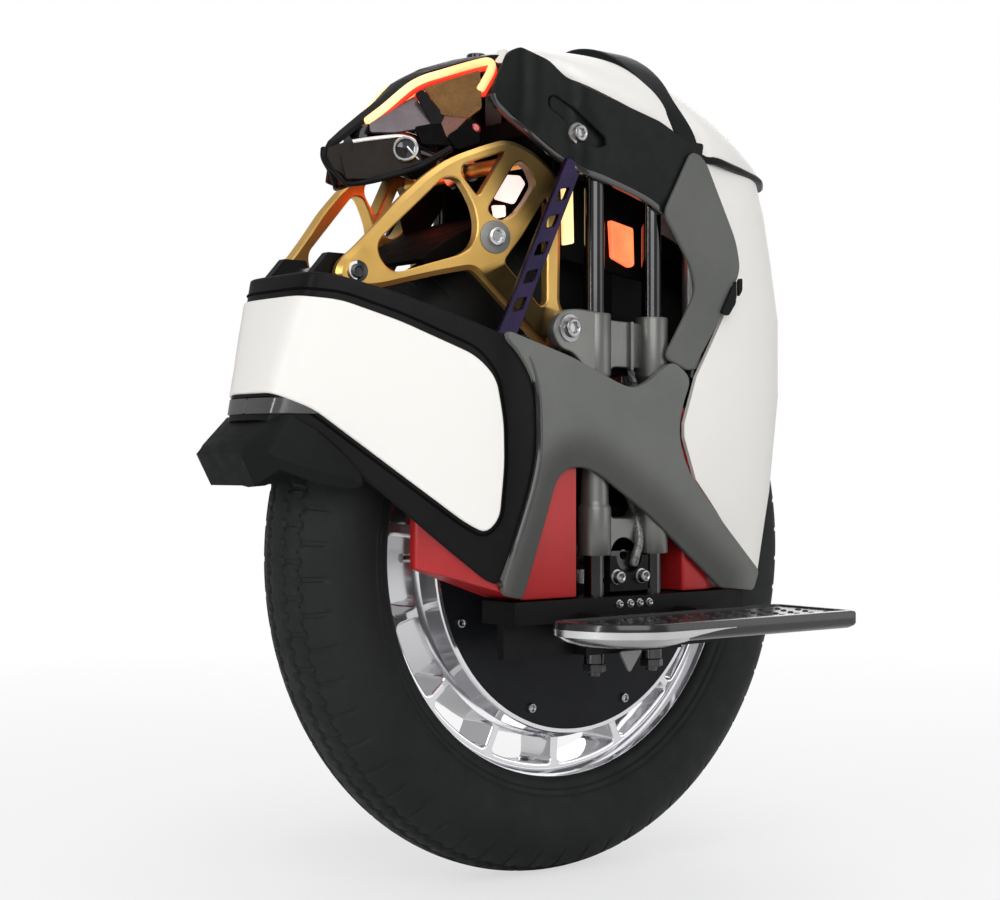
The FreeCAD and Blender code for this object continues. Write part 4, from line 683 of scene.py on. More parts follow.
class Paint:
    """The object's finishes by name."""

    white = Finish(
        "shell_white", (0.60, 0.586, 0.573), (0.66, 0.645, 0.632), (0.32, 0.42), relief=0.03, strength=0.1,
    )
    black = Finish(
        "frame_satin_black", (0.004, 0.004, 0.0045), (0.007, 0.007, 0.0075), (0.34, 0.46), shine=0.12,
    )
    head = Finish(
        "head_satin_black", (0.005, 0.0055, 0.0055), (0.008, 0.009, 0.009), (0.36, 0.48), strength=0.35,
        shine=0.14,
    )
    gloss = Finish(
        "gloss_black", (0.006, 0.006, 0.007), (0.012, 0.012, 0.013), (0.08, 0.16), coat=0.4, relief=0.02,
    )
    grey = Finish(
        "trim_warm_grey", (0.098, 0.102, 0.094), (0.118, 0.122, 0.114), (0.42, 0.54), strength=0.3,
        shine=0.25,
    )
    # painted shade: a warm grey whose tone is darkened towards the arch by the shade value
    panel = Shaded(
        "panel_warm_grey", (0.125, 0.130, 0.120), (0.145, 0.150, 0.140), (0.42, 0.54), strength=0.3,
        shine=0.25,
    )
    dull = Finish("washer_grey", (0.20, 0.20, 0.19), (0.26, 0.26, 0.25), (0.35, 0.5), 0.6, Grain.CAST)
    pedal = Finish(
        "pedal_black", (0.007, 0.007, 0.008), (0.012, 0.012, 0.013), (0.16, 0.26), coat=0.3, relief=0.02,
    )
    rose = Finish("reflector_rose", (0.17, 0.075, 0.055), (0.26, 0.12, 0.09), (0.25, 0.36), 0.4, drift=40)
    liner = Finish(
        "visor_liner", (0.008, 0.006, 0.005), (0.022, 0.016, 0.012), (0.3, 0.45), drift=30, shine=0.12,
    )
    # painted glow: the tray is no lamp, and its red stands for the tube's light spilling on it
    painted_tray_glow = Glow("tray_painted_glow", (0.45, 0.012, 0.006), (0.9, 0.05, 0.02), (0.3, 0.4), drift=30, power=0.9)
    # near black: the inner parts' own black, and painted shadow on dark sheets set where there is only
    # shade
    black_and_shadow = Finish("inner_black_and_painted_shadow", (0.002, 0.002, 0.002), (0.004, 0.004, 0.004), (0.6, 0.8), shine=0.04)
    braid = Finish(
        "cable_braid", (0.05, 0.05, 0.05), (0.34, 0.34, 0.33), (0.35, 0.5), 0.5, Grain.CAST, drift=700,
        strength=0.6,
    )
    flap = Finish(
        "flap_rubber", (0.005, 0.0055, 0.006), (0.009, 0.0095, 0.010), (0.5, 0.65), strength=0.4,
        shine=0.12,
    )
    red = Finish(
        "guard_red", (0.37, 0.010, 0.012), (0.46, 0.016, 0.018), (0.3, 0.42), 0.1, Grain.BRUSHED_UP,
        size=260,
    )
    # painted shade: gold whose tone is darkened on the lower rear leg and at the top by the shade value
    gold = Shaded(
        "arm_gold", (0.80, 0.48, 0.12), (0.90, 0.58, 0.19), (0.30, 0.42), 0.85, drift=9, size=900,
        strength=0.04,
    )
    tube_gold = Finish(
        "cross_tube_gold", (0.62, 0.32, 0.06), (0.74, 0.42, 0.10), (0.30, 0.42), 0.85, Grain.TURNED_ACROSS,
        strength=0.08,
    )
    strut = Finish(
        "strut_violet", (0.010, 0.010, 0.03), (0.035, 0.018, 0.06), (0.22, 0.34), 0.85, Grain.BRUSHED_UP,
        drift=30,
    )
    gunmetal = Finish(
        "slider_gunmetal", (0.15, 0.15, 0.145), (0.20, 0.20, 0.19), (0.3, 0.42), 0.75, Grain.BRUSHED_UP,
        size=320,
    )
    silver = Finish("bolt_silver", (0.55, 0.55, 0.56), (0.75, 0.75, 0.76), (0.14, 0.3), 1.0, Grain.CAST)
    polished = Finish(
        "rim_polished", (0.70, 0.70, 0.71), (0.84, 0.84, 0.85), (0.07, 0.16), 1.0, Grain.TURNED_ACROSS,
        size=200, relief=0.02,
    )
    rods = Finish(
        "rod_black_chrome", (0.055, 0.055, 0.057), (0.08, 0.08, 0.082), (0.07, 0.13), 1.0, Grain.BRUSHED_UP,
        relief=0.01,
    )
    hub = Finish(
        "hub_cover_black", (0.005, 0.0055, 0.008), (0.010, 0.011, 0.014), (0.3, 0.42),
        grain=Grain.TURNED_ACROSS, shine=0.14,
    )
    tyre = Rubber(
        "tyre_rubber", (0.009, 0.010, 0.010), (0.016, 0.017, 0.017), (0.5, 0.68), drift=9, size=900,
        relief=0.12, strength=0.5, shine=0.2,
    )
    copper = Finish("winding_copper", (0.45, 0.16, 0.06), (0.62, 0.26, 0.1), (0.25, 0.4), 1.0)
    pack = Finish("cell_wrap_blue", (0.01, 0.02, 0.08), (0.02, 0.04, 0.13), (0.3, 0.5))
    lamp = Glow("lamp_white", (0.85, 0.80, 0.76), (1.0, 0.97, 0.94), (0.2, 0.3), power=0.8)
    tube = Glow("tube_amber", (1.0, 0.40, 0.15), (1.0, 0.68, 0.32), (0.3, 0.4), drift=16, power=1.15)
    panel_glow = Glow(
        "panel_red_amber", (1.0, 0.10, 0.04), (1.0, 0.22, 0.08), (0.3, 0.4), drift=30, power=1.6,
    )
    pink_glow = Glow(
        "panel_pink_white", (1.0, 0.60, 0.55), (1.0, 0.82, 0.78), (0.3, 0.4), drift=30, power=1.0,
    )
    strip_glow = Glow("strip_amber", (1.0, 0.66, 0.26), (1.0, 0.84, 0.44), (0.3, 0.4), drift=40, power=1.0)
    tail = Finish("tail_lens_red", (0.3, 0.006, 0.008), (0.45, 0.012, 0.012), (0.1, 0.2), coat=0.6)
    grip = Finish(
        "pedal_grip", (0.008, 0.008, 0.009), (0.016, 0.016, 0.017), (0.55, 0.75), size=500, relief=0.5,
        strength=0.9,
    )
    lens = Finish("lens_dark", (0.01, 0.01, 0.014), (0.03, 0.03, 0.04), (0.03, 0.08), coat=1.0)
    steel = Finish("bolt_steel", (0.32, 0.32, 0.33), (0.48, 0.48, 0.49), (0.2, 0.34), 1.0, Grain.CAST)
    smoke = Finish("lamp_smoke", (0.035, 0.035, 0.036), (0.06, 0.06, 0.06), (0.15, 0.25), coat=0.5)
    steel_dark = Finish("bolt_dark_steel", (0.05, 0.05, 0.05), (0.09, 0.09, 0.09), (0.25, 0.35), 0.9)
    facet = Finish(
        "reflector_violet_grey", (0.10, 0.085, 0.095), (0.16, 0.135, 0.145), (0.2, 0.32), 0.5, drift=40,
    )
    # painted light: the amber-brown tone is the tubes' orange light falling on the rear facets
    amber_lit_reflector = Finish(
        "reflector_painted_amber_light", (0.16, 0.075, 0.022), (0.28, 0.14, 0.045), (0.22, 0.34), 0.5, drift=40,
    )


def piece(
    name: str, surface: Surface, finish: Finish, body: str, stands_for: Sequence[str] = (),
    slot: str = "", sharp: float = 32.0, shade: Array | None = None,
) -> bpy.types.Object:
    """A finished object from a surface in millimetres.

    Args:
        name: the piece's name.
        surface: its closed surface.
        finish: its finish.
        body: the body it moves with.
        stands_for: nodes of the frame that it is shown in place of.
        slot: the record's material slot for its finish; not used.
        sharp: angle in degrees past which an edge is sharp.
        shade: painted shade, a value for each point that a shaded finish is darkened by.

    Returns:
        The new object.
    """
    mesh = bpy.data.meshes.new(name)
    mesh.from_pydata(
        (surface.points * MM).tolist(), [], surface.quads.tolist() + surface.triangles.tolist(),
    )
    if shade is not None:
        mesh.attributes.new("shade", "FLOAT", "POINT").data.foreach_set(
            "value", np.asarray(shade, np.float32),
        )
    work = bmesh.new()
    work.from_mesh(mesh)
    bmesh.ops.remove_doubles(work, verts=work.verts, dist=2e-6)
    bmesh.ops.recalc_face_normals(work, faces=work.faces)
    work.to_mesh(mesh)
    work.free()
    mesh.shade_smooth()
    mesh.set_sharp_from_angle(angle=math.radians(sharp))
    mesh.materials.append(finish.material())
    item = bpy.data.objects.new(name, mesh)
    bpy.context.scene.collection.objects.link(item)
    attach(item, body)
    if stands_for:
        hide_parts(*stands_for)
    log.info("%s: %d faces on %s", name, len(mesh.polygons), body)
    return item


def dress(finish: Finish, *nodes: str) -> None:
    """Give nodes of the frame a finish."""
    for name in nodes:
        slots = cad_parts[name].data.materials
        slots.clear()
        slots.append(finish.material())
        log.info("%s: %s", name, finish.name)


def dress_frame() -> None:
    """Finishes for all nodes of the frame, those shown by other pieces too."""
    dress(Paint.tyre, "tyre", "inner_tube")
    dress(Paint.polished, "rim")
    dress(Paint.hub, "motor_covers", "magnet_ring", "stator_core", "controller")
    dress(
        Paint.silver, "cover_screws", "wheel_bearings", "carriage_bolts", "chassis_fixings", "arm_bolts",
        "valve_stem", "shock_shaft", "arm_pivot_shaft",
    )
    dress(Paint.copper, "stator_windings", "slider_bushes")
    dress(Paint.gunmetal, "sliders", "handle_guides")
    dress(
        Paint.black, "axle_caps", "pedal_brackets", "top_bridge", "nose_frame", "nose_yoke", "roof_posts",
        "shock_bracket", "visor_hood", "charge_port", "charge_cap", "power_button", "pedal_pins",
    )
    # the inner mudguard and stays are kept near black, partly as painted shadow
    dress(Paint.black_and_shadow, "inner_mudguard", "mudguard_stays")
    dress(Paint.flap, "mud_flap", "motor_cable", "cable_connector")
    dress(Paint.rods, "guide_rods")
    dress(Paint.steel_dark, "axle", "handle_legs")
    dress(Paint.red, "battery_boxes")
    dress(Paint.pack, "battery_packs")
    dress(Paint.grey, "x_panels", "side_trims")
    dress(Paint.head, "head_plates", "handle_grip")
    dress(Paint.white, "nose_panel", "top_cover", "rear_fender")
    dress(Paint.lamp, "nose_lamps", "headlamps")
    dress(Paint.tube_gold, "arm_plates", "arm_cross_tube")
    dress(Paint.strut, "struts")
    dress(Paint.tube, "light_tubes")
    dress(Paint.panel_glow, "glow_lamps")
    dress(Paint.tail, "tail_lamp")
    dress(Paint.gloss, "shock_can", "pedal_left", "pedal_right")


def stacked(
    corners: Sequence, reach: Sequence[float], rings: Sequence[tuple[float, float]], place: Place,
) -> Surface:
    """A solid built of one outline at several heights, closed at both ends.

    Args:
        corners: corners of the outline in the plane, anticlockwise.
        reach: rounding of each corner.
        rings: pairs of inset and height, from one end to the other.
        place: takes plane coordinates u, v and height w to points in space.

    Returns:
        The closed surface.
    """
    base = np.asarray(corners, float)
    loops = [rounded(inset(base, step), reach, 10) for step, _ in rings]
    points = np.concatenate(
        [np.column_stack([loop, np.full(len(loop), ring[1])]) for loop, ring in zip(loops, rings)]
    )
    size = len(loops[0])
    ends = [filled([loops[layer]], 0)[1] + layer * size for layer in (0, len(rings) - 1)]
    return Surface(place(*points.T), grid_quads(len(rings), size, wrap_columns=True), np.concatenate(ends))


def resampled(loop: Array, step: float) -> Array:
    """A closed outline with points at even steps along it."""
    ring = np.concatenate([loop, loop[:1]])
    run = np.concatenate([[0], np.cumsum(np.linalg.norm(np.diff(ring, axis=0), axis=1))])
    marks = np.linspace(0, run[-1], max(int(run[-1] / step), 8), endpoint=False)
    return np.stack([np.interp(marks, run, ring[:, 0]), np.interp(marks, run, ring[:, 1])], 1)


def distance_to(u: Array, v: Array, line: Sequence) -> Array:
    """Shortest distance from points to a line of straight runs."""
    p = np.stack([u, v], 1)[:, None]
    a = np.asarray(line, float)[None]
    start, run = a[:, :-1], a[:, 1:] - a[:, :-1]
    t = np.clip(np.sum((p - start) * run, 2) / np.sum(run * run, 2), 0, 1)
    return np.linalg.norm(p - start - t[..., None] * run, axis=2).min(1)


@dataclass
class Tyre:
    """The tyre with its tread blocks, in millimetres about the wheel's axis."""

    centre: Sequence[float] = (0, 0, 228.5)
    pitches: int = 60
    depth: float = 1.7
    outer: Sequence = (
        (158.0, 23.0), (159.5, 28.0), (163.0, 30.6), (166.5, 31.0), (168.0, 32.4), (171.0, 33.0),
        (173.0, 34.4), (180.0, 36.4), (190.0, 37.9), (199.0, 37.6), (207.0, 35.6), (213.5, 32.0),
        (219.0, 27.0), (223.4, 20.5), (226.4, 13.5), (228.0, 6.5), (228.4, 0.0),
    )
    zigzag: float = 1.4
    rings: Sequence = ((6.5, 0.7, 1.5), (18.0, 1.0, 2.0))
    bar: Sequence[float] = (0.045, 0.075)
    middle: Sequence[float] = (7.0, 19.0)
    shoulder: Sequence[float] = (19.0, 20.0, 33.0, 35.5)
    light: float = 0.4
    marks: Sequence[float] = (
        0, 0.03, 0.05, 0.08, 0.2, 0.32, 0.42, 0.45, 0.5, 0.55, 0.58, 0.7, 0.8, 0.92, 0.95, 0.97,
    )
    tread: Sequence[float] = (206.0, 212.0)
    core: Sequence[float] = (190.0, 0.0)
    inner: Sequence = (
        (214.0, 0.0), (211.0, 14.0), (203.0, 25.0), (190.0, 30.5), (174.0, 29.0), (163.0, 24.0),
    )

    def pattern(self, turn: Array, y: Array) -> Array:
        """Depth of the grooves: two zigzag rings on each side, and bars between them by the pitch.

        Args:
            turn: place round the wheel, one for each pitch.
            y: place across the tread.

        Returns:
            Zero on a block and one at the bottom of a groove.
        """
        side = np.abs(y)
        part = np.mod(turn + np.where(y > 0, 0.0, 0.5), 1.0)
        wave = self.zigzag * (1 + np.cos(4 * math.pi * part))
        rings = [1 - smooth_step(low, high, np.abs(side - place - wave)) for place, low, high in self.rings]
        bar = 1 - smooth_step(*self.bar, np.abs(part - 0.5))
        notch = 1 - smooth_step(*self.bar, np.minimum(part, 1 - part))
        middle = notch * (side > self.middle[0]) * (side < self.middle[1])
        start, full, fade, end = self.shoulder
        shoulder = bar * smooth_step(start, full, side) * (1 - smooth_step(fade, end, side))
        return np.maximum.reduce([*rings, self.light * middle, self.light * shoulder])

    def build(self) -> None:
        """A closed section carried round the axis, sunk along its normal by the tread pattern."""
        half = np.asarray(self.outer, float)
        crown = curve_through(np.concatenate([half, (half[:-1] * (1, -1))[::-1]]), 3)
        under = np.asarray(self.inner, float)
        lining = np.concatenate([(under[1:] * (1, -1))[::-1], under])
        section = np.concatenate([crown, lining])
        turn = (np.arange(self.pitches)[:, None] + np.array(self.marks)[None]).ravel()
        angle = turn * (2 * math.pi / self.pitches)
        along = unit(np.roll(section, -1, 0) - np.roll(section, 1, 0))
        normal = np.stack([-along[:, 1], along[:, 0]], 1)
        on_tread = np.zeros(len(section))
        on_tread[: len(crown)] = smooth_step(*self.tread, crown[:, 0])
        sink = self.depth * on_tread[:, None] * self.pattern(turn[None], section[:, 1:])
        outward = np.sign(np.sum(normal * (section - self.core), 1))
        radius = section[:, :1] - sink * (normal[:, :1] * outward[:, None])
        y = section[:, 1:] - sink * (normal[:, 1:] * outward[:, None])
        points = np.stack(
            [radius * np.cos(angle), np.broadcast_to(y, radius.shape), radius * np.sin(angle)], -1,
        )
        surface = sheet_grid(points + np.asarray(self.centre), wrap_rows=True, wrap_columns=True)
        piece("tyre_tread", surface, Paint.tyre, "wheel", ["tyre"], "tyre_black")


@dataclass
class SidePanels:
    """The cross-shaped panel, the bent trim and the head plate of each side, in millimetres."""

    face: float = 99.0
    inner: float = 95.8
    plate_face: float = 95.6
    plate_thick: float = 4.0
    floor_depths: Sequence[float] = (5.4, 4.2)
    wrap_from: float = 40.0
    wrap_to: float = 108.0
    wrap_step: Sequence[float] = (-28.0, -33.0, 9.7)
    dip_depth: float = 3.6
    foot_z: float = 220.0
    lip_half: float = 2.6
    cross: Sequence = (
        (115, 376), (60, 361), (18, 345), (5, 342), (-10, 347), (-22, 356), (-33, 362), (-51, 351),
        (-42, 332), (-38, 314), (-42, 297), (-52, 280), (-84, 248), (-120, 214), (-114, 200), (-83, 203),
        (-48, 229), (-12, 256), (16, 273), (34, 284), (50, 289), (64, 287), (72, 280), (80, 258),
        (101, 203), (117, 206), (120, 214), (103, 256), (92, 282), (88, 304), (89, 326), (95, 347),
        (106, 362), (116, 371),
    )
    arch: Sequence = (
        (-83, 203), (-48, 229), (-12, 256), (16, 273), (34, 284), (50, 289), (64, 287), (72, 280),
        (80, 258), (101, 203),
    )
    trim: Sequence = (
        (-53, 511), (-25, 464), (-38, 447), (-51, 430), (-57, 413), (-44, 392), (-25, 364), (-52, 354.5),
        (-83, 397), (-102, 430), (-97, 451), (-66, 505),
    )
    head: Sequence = (
        (97, 560.5), (77, 556), (63, 547), (36, 541), (-25, 528), (-61, 513), (-31, 466), (-10, 475),
        (63, 492), (100, 510), (117, 518), (126.5, 525), (120, 541), (112, 557), (102, 561.5),
    )
    slot: Sequence = (
        (78, 531), (72, 533.6), (55, 527.2), (27, 510.5), (26, 506), (34, 503), (46, 506.5), (62, 517),
        (78, 525),
    )
    lip: Sequence = (
        (125, 527), (122, 521.5), (115, 517), (98, 508), (62, 491), (25, 483), (-10, 474), (-29, 466),
    )

    def wrap(self, u: Array, v: Array, w: Array) -> Array:
        """The head plate's plane, moved by wrap_step times a share that rises smoothly along x."""
        share = smooth_step(self.wrap_from, self.wrap_to, u)
        return np.stack([u, w, v], 1) + share[:, None] * self.wrap_step

    def build(self) -> None:
        """The panel dips towards its arch, with painted shade darkening it there, and the head plate has a
        slot with a floor behind it.
        """

        def dip(u: Array, v: Array) -> Array:
            return self.face + 1.6 - self.dip_depth * (1 - smooth_step(4, 26, distance_to(u, v, self.arch)))

        reach = [3.0 if z < self.foot_z else 9.0 for _, z in self.cross]
        cross = plate(
            resampled(rounded(self.cross, reach), 2.5), [], level(self.inner - 2), dip, side_place, 1.2, 5,
        )
        # painted shade: the panel's tone falls to 0.45 near the arch, where its dip lies in shade
        shade = 0.45 + 0.55 * smooth_step(
            3, 32, distance_to(cross.points[:, 0], cross.points[:, 2], self.arch),
        )
        piece(
            "cross_panels", cross.both(), Paint.panel, "chassis", ["x_panels"], "panel_grey",
            shade=np.tile(shade, 2),
        )
        trim = plate(rounded(self.trim, 8), [], level(self.inner), level(self.face + 0.6), side_place, 1.4)
        piece("bent_trims", trim.both(), Paint.grey, "chassis", ["side_trims"], "panel_grey")
        slot = rounded(self.slot, 3)

        def crown(u: Array, v: Array) -> Array:
            edge = distance_to(u, v, self.lip)
            return self.plate_face + 1.4 * smooth_step(0, 12, edge) - 1.2

        back = level(self.plate_face - self.plate_thick)
        head = plate(resampled(rounded(self.head, 4), 2.4), [slot], back, crown, self.wrap, 1.0, 5)
        behind = [level(self.plate_face - depth) for depth in self.floor_depths]
        floor = plate(inset(wound(slot, 1), -3), [], *behind, self.wrap, 0.4, 6)
        surface = joined(head.both(), floor.both())
        piece("head_plate_pair", surface, Paint.head, "chassis", ["head_plates"], "head_black")
        flat = curve_through(np.asarray(self.lip, float), 6)
        path = self.wrap(*flat.T, np.full(len(flat), self.plate_face - 3.4))
        section = rounded(self.lip_half * np.array([(-1, -1), (1, -1), (1, 1), (-1, 1)]), 2.2, 4)
        piece("head_lips", swept(path, section, SIDE).both(), Paint.gloss, "chassis", slot="head_black")


@dataclass
class Nose:
    """The wedge-shaped nose: black frame, white panel, lamp strip and flap, in millimetres."""

    half: float = 97.4
    bend_x: float = 118.0
    slope: float = 0.529
    front_x: float = 231.8
    front_z: float = 396.0
    rake: float = 0.262
    corner: float = 8.5
    panel_top: Sequence = (
        (211, 394), (177, 381), (134, 360), (122, 346), (117.5, 318), (117, 290), (120, 256), (128, 246),
        (140, 253), (177, 284), (226, 325),
    )
    panel_ends: Sequence = ((396, 6, 396.5), (335, 2, 335))
    frame_ends: Sequence = ((411, 8, 412.5), (316, 4, 318))
    strip: Sequence = ((0.7, 332), (50, 332), (62, 322), (0.7, 322))
    strip_reach: Sequence[float] = (1.2, 4, 4, 1.2)
    groove_lift: float = 2.5
    groove_lifted: int = 4
    groove_gap: float = 2.6
    groove_radius: float = 0.9
    seal_radius: float = 2.4
    frame_side: Sequence = (
        (216, 411), (180, 400), (140, 384), (112, 372), (98, 358), (91, 338), (89.5, 318), (90, 296),
        (96, 272), (108, 240), (116, 217), (121, 213), (128, 216), (150, 236), (190, 274), (228, 306),
    )
    flap: Sequence = (
        ((244, 0, 321), (266, 0, 303), (270, 0, 297), (260, 0, 277), (237, 0, 279), (232, 0, 315)),
        ((244, 26, 321), (266, 26, 303), (270, 26, 297), (260, 26, 277), (235, 26, 279), (230, 26, 315)),
        ((241, 38, 321), (258, 42, 301), (261, 43, 297), (252, 42, 287), (228, 36, 290), (222, 34, 315)),
        ((228, 46, 312), (240, 53, 294), (242, 54, 289), (233, 53, 279), (216, 46, 283), (212, 42, 306)),
        ((210, 52, 296), (215, 59, 284), (216, 60, 282), (212, 58.5, 275), (203, 52, 276), (200, 48, 292)),
        ((200, 55, 286), (202, 60, 280), (203, 60, 279), (202, 59, 276.5), (198, 55, 277), (197, 54, 283)),
    )

    def corner_y(self, z: Array) -> Array:
        """Half width of the front at a height."""
        return self.half - (self.front(z) - self.bend_x) * self.slope

    def front(self, z: Array) -> Array:
        """How far forward the raked front lies at a height."""
        return self.front_x + (self.front_z - z) * self.rake

    def run(self, x: float, z: float) -> tuple[float, float]:
        """Distance round the nose from its middle to a point of its side, with the height."""
        stretch = math.hypot(1, self.slope)
        past = (self.front(z) - max(x, self.bend_x)) * stretch + max(self.bend_x - x, 0)
        return float(self.corner_y(z) + past), float(z)

    def skin(self, s: Array, z: Array) -> Array:
        """The nose's outer skin by distance round it and height.

        With t the distance past the corner and soft(t) = (t + sqrt(t^2 + c^2)) / 2, a point is the
        corner + front soft(-t) + side soft(t) + (rear - side) soft(t - L), L being the side's length.
        """
        def soft(t: Array, c: float) -> Array:
            return (t + np.sqrt(t * t + c * c)) / 2

        stretch = math.hypot(1, self.slope)
        x0, y0 = self.front(z), self.corner_y(z)
        t = np.abs(s) - y0
        length = (x0 - self.bend_x) * stretch
        side_x, side_y = -1 / stretch, self.slope / stretch
        late = soft(t - length, 10)
        x = x0 + side_x * soft(t, self.corner) + (-1 - side_x) * late
        y = y0 - soft(-t, self.corner) + side_y * soft(t, self.corner) + (0.03 - side_y) * late
        return np.stack([x, y * np.tanh(np.abs(s) * 4) * np.sign(s), z], 1)

    def place(self, s: Array, z: Array, w: Array) -> Array:
        """The skin moved out along its normal by a height, where the normal is the cross product of
        small steps along the height and round the nose."""
        step = 0.4
        keep = np.where(np.abs(s) < 2, 2.0, s)
        run = self.skin(keep + step, z) - self.skin(keep - step, z)
        rise = self.skin(keep, z + step) - self.skin(keep, z - step)
        normal = unit(np.cross(run, rise))
        normal[:, 1] = np.where(np.abs(s) < 2, 0, normal[:, 1])
        return self.skin(s, z) + normal * w[:, None]

    def whole(self, left: Sequence, reach: float | Sequence[float]) -> Array:
        """An outline across the nose from its left half, rounded and evenly stepped."""
        half = np.asarray(left, float)
        loop = np.concatenate([half, (half * (-1, 1))[::-1]])
        return resampled(rounded(loop, reach), 2.6)

    def left(self, ends: Sequence, side: Sequence) -> list:
        """Half an outline: points by the front's corner at a step and height, and the side between."""
        top, low = [(self.corner_y(z) - step, height) for z, step, height in ends]
        return [top, *[self.run(x, z) for x, z in side], low]

    def build(self) -> None:
        """Frame, panel, lamp strip, seal and flap."""
        frame_left = self.left(self.frame_ends, self.frame_side)
        shell = plate(self.whole(frame_left, 9), [], level(-4.0), level(0.0), self.place, 1.8, 6)
        piece("nose_black_frame", shell, Paint.black, "chassis", ["nose_frame"], "frame_black")
        panel_left = self.left(self.panel_ends, self.panel_top)
        panel = plate(self.whole(panel_left, 9), [], level(-0.5), level(1.9), self.place, 1.2, 6)
        piece("nose_white_panel", panel, Paint.white, "chassis", ["nose_panel"], "shell_white")
        lifted = np.asarray(panel_left, float)
        lifted[: self.groove_lifted, 1] += self.groove_lift
        ring = inset(wound(self.whole(lifted, 9), 1), -self.groove_gap)
        path = self.place(*ring.T, np.full(len(ring), 0.1))
        groove = swept(path, circle(self.groove_radius, 8), (0, 0.3, 1), closed=True)
        piece("nose_groove", groove, Paint.black_and_shadow, "chassis", slot="frame_black")
        loop = resampled(rounded(self.strip, self.strip_reach), 1.6)
        strip = plate(loop, [], level(-0.5), level(1.2), self.place, 0.4, 3)
        piece("nose_lamp_strips", strip.both(), Paint.smoke, "chassis", ["nose_lamps"], "lamp_white")
        edge = np.array([self.run(x, z) for x, z in self.frame_side[3:12]])
        rim = curve_through(self.place(*edge.T, np.full(len(edge), 1.0)), 6)
        seal = swept(rim, circle(self.seal_radius, 10), SIDE)
        piece("nose_rear_seal", seal.both(), Paint.gloss, "chassis", slot="frame_black")
        half = np.asarray(self.flap, float)
        stations = np.concatenate([(half[1:] * (1, -1, 1))[::-1], half])
        piece("nose_mud_flap", capped(stations), Paint.flap, "chassis", ["mud_flap"], "rubber_black", 24)


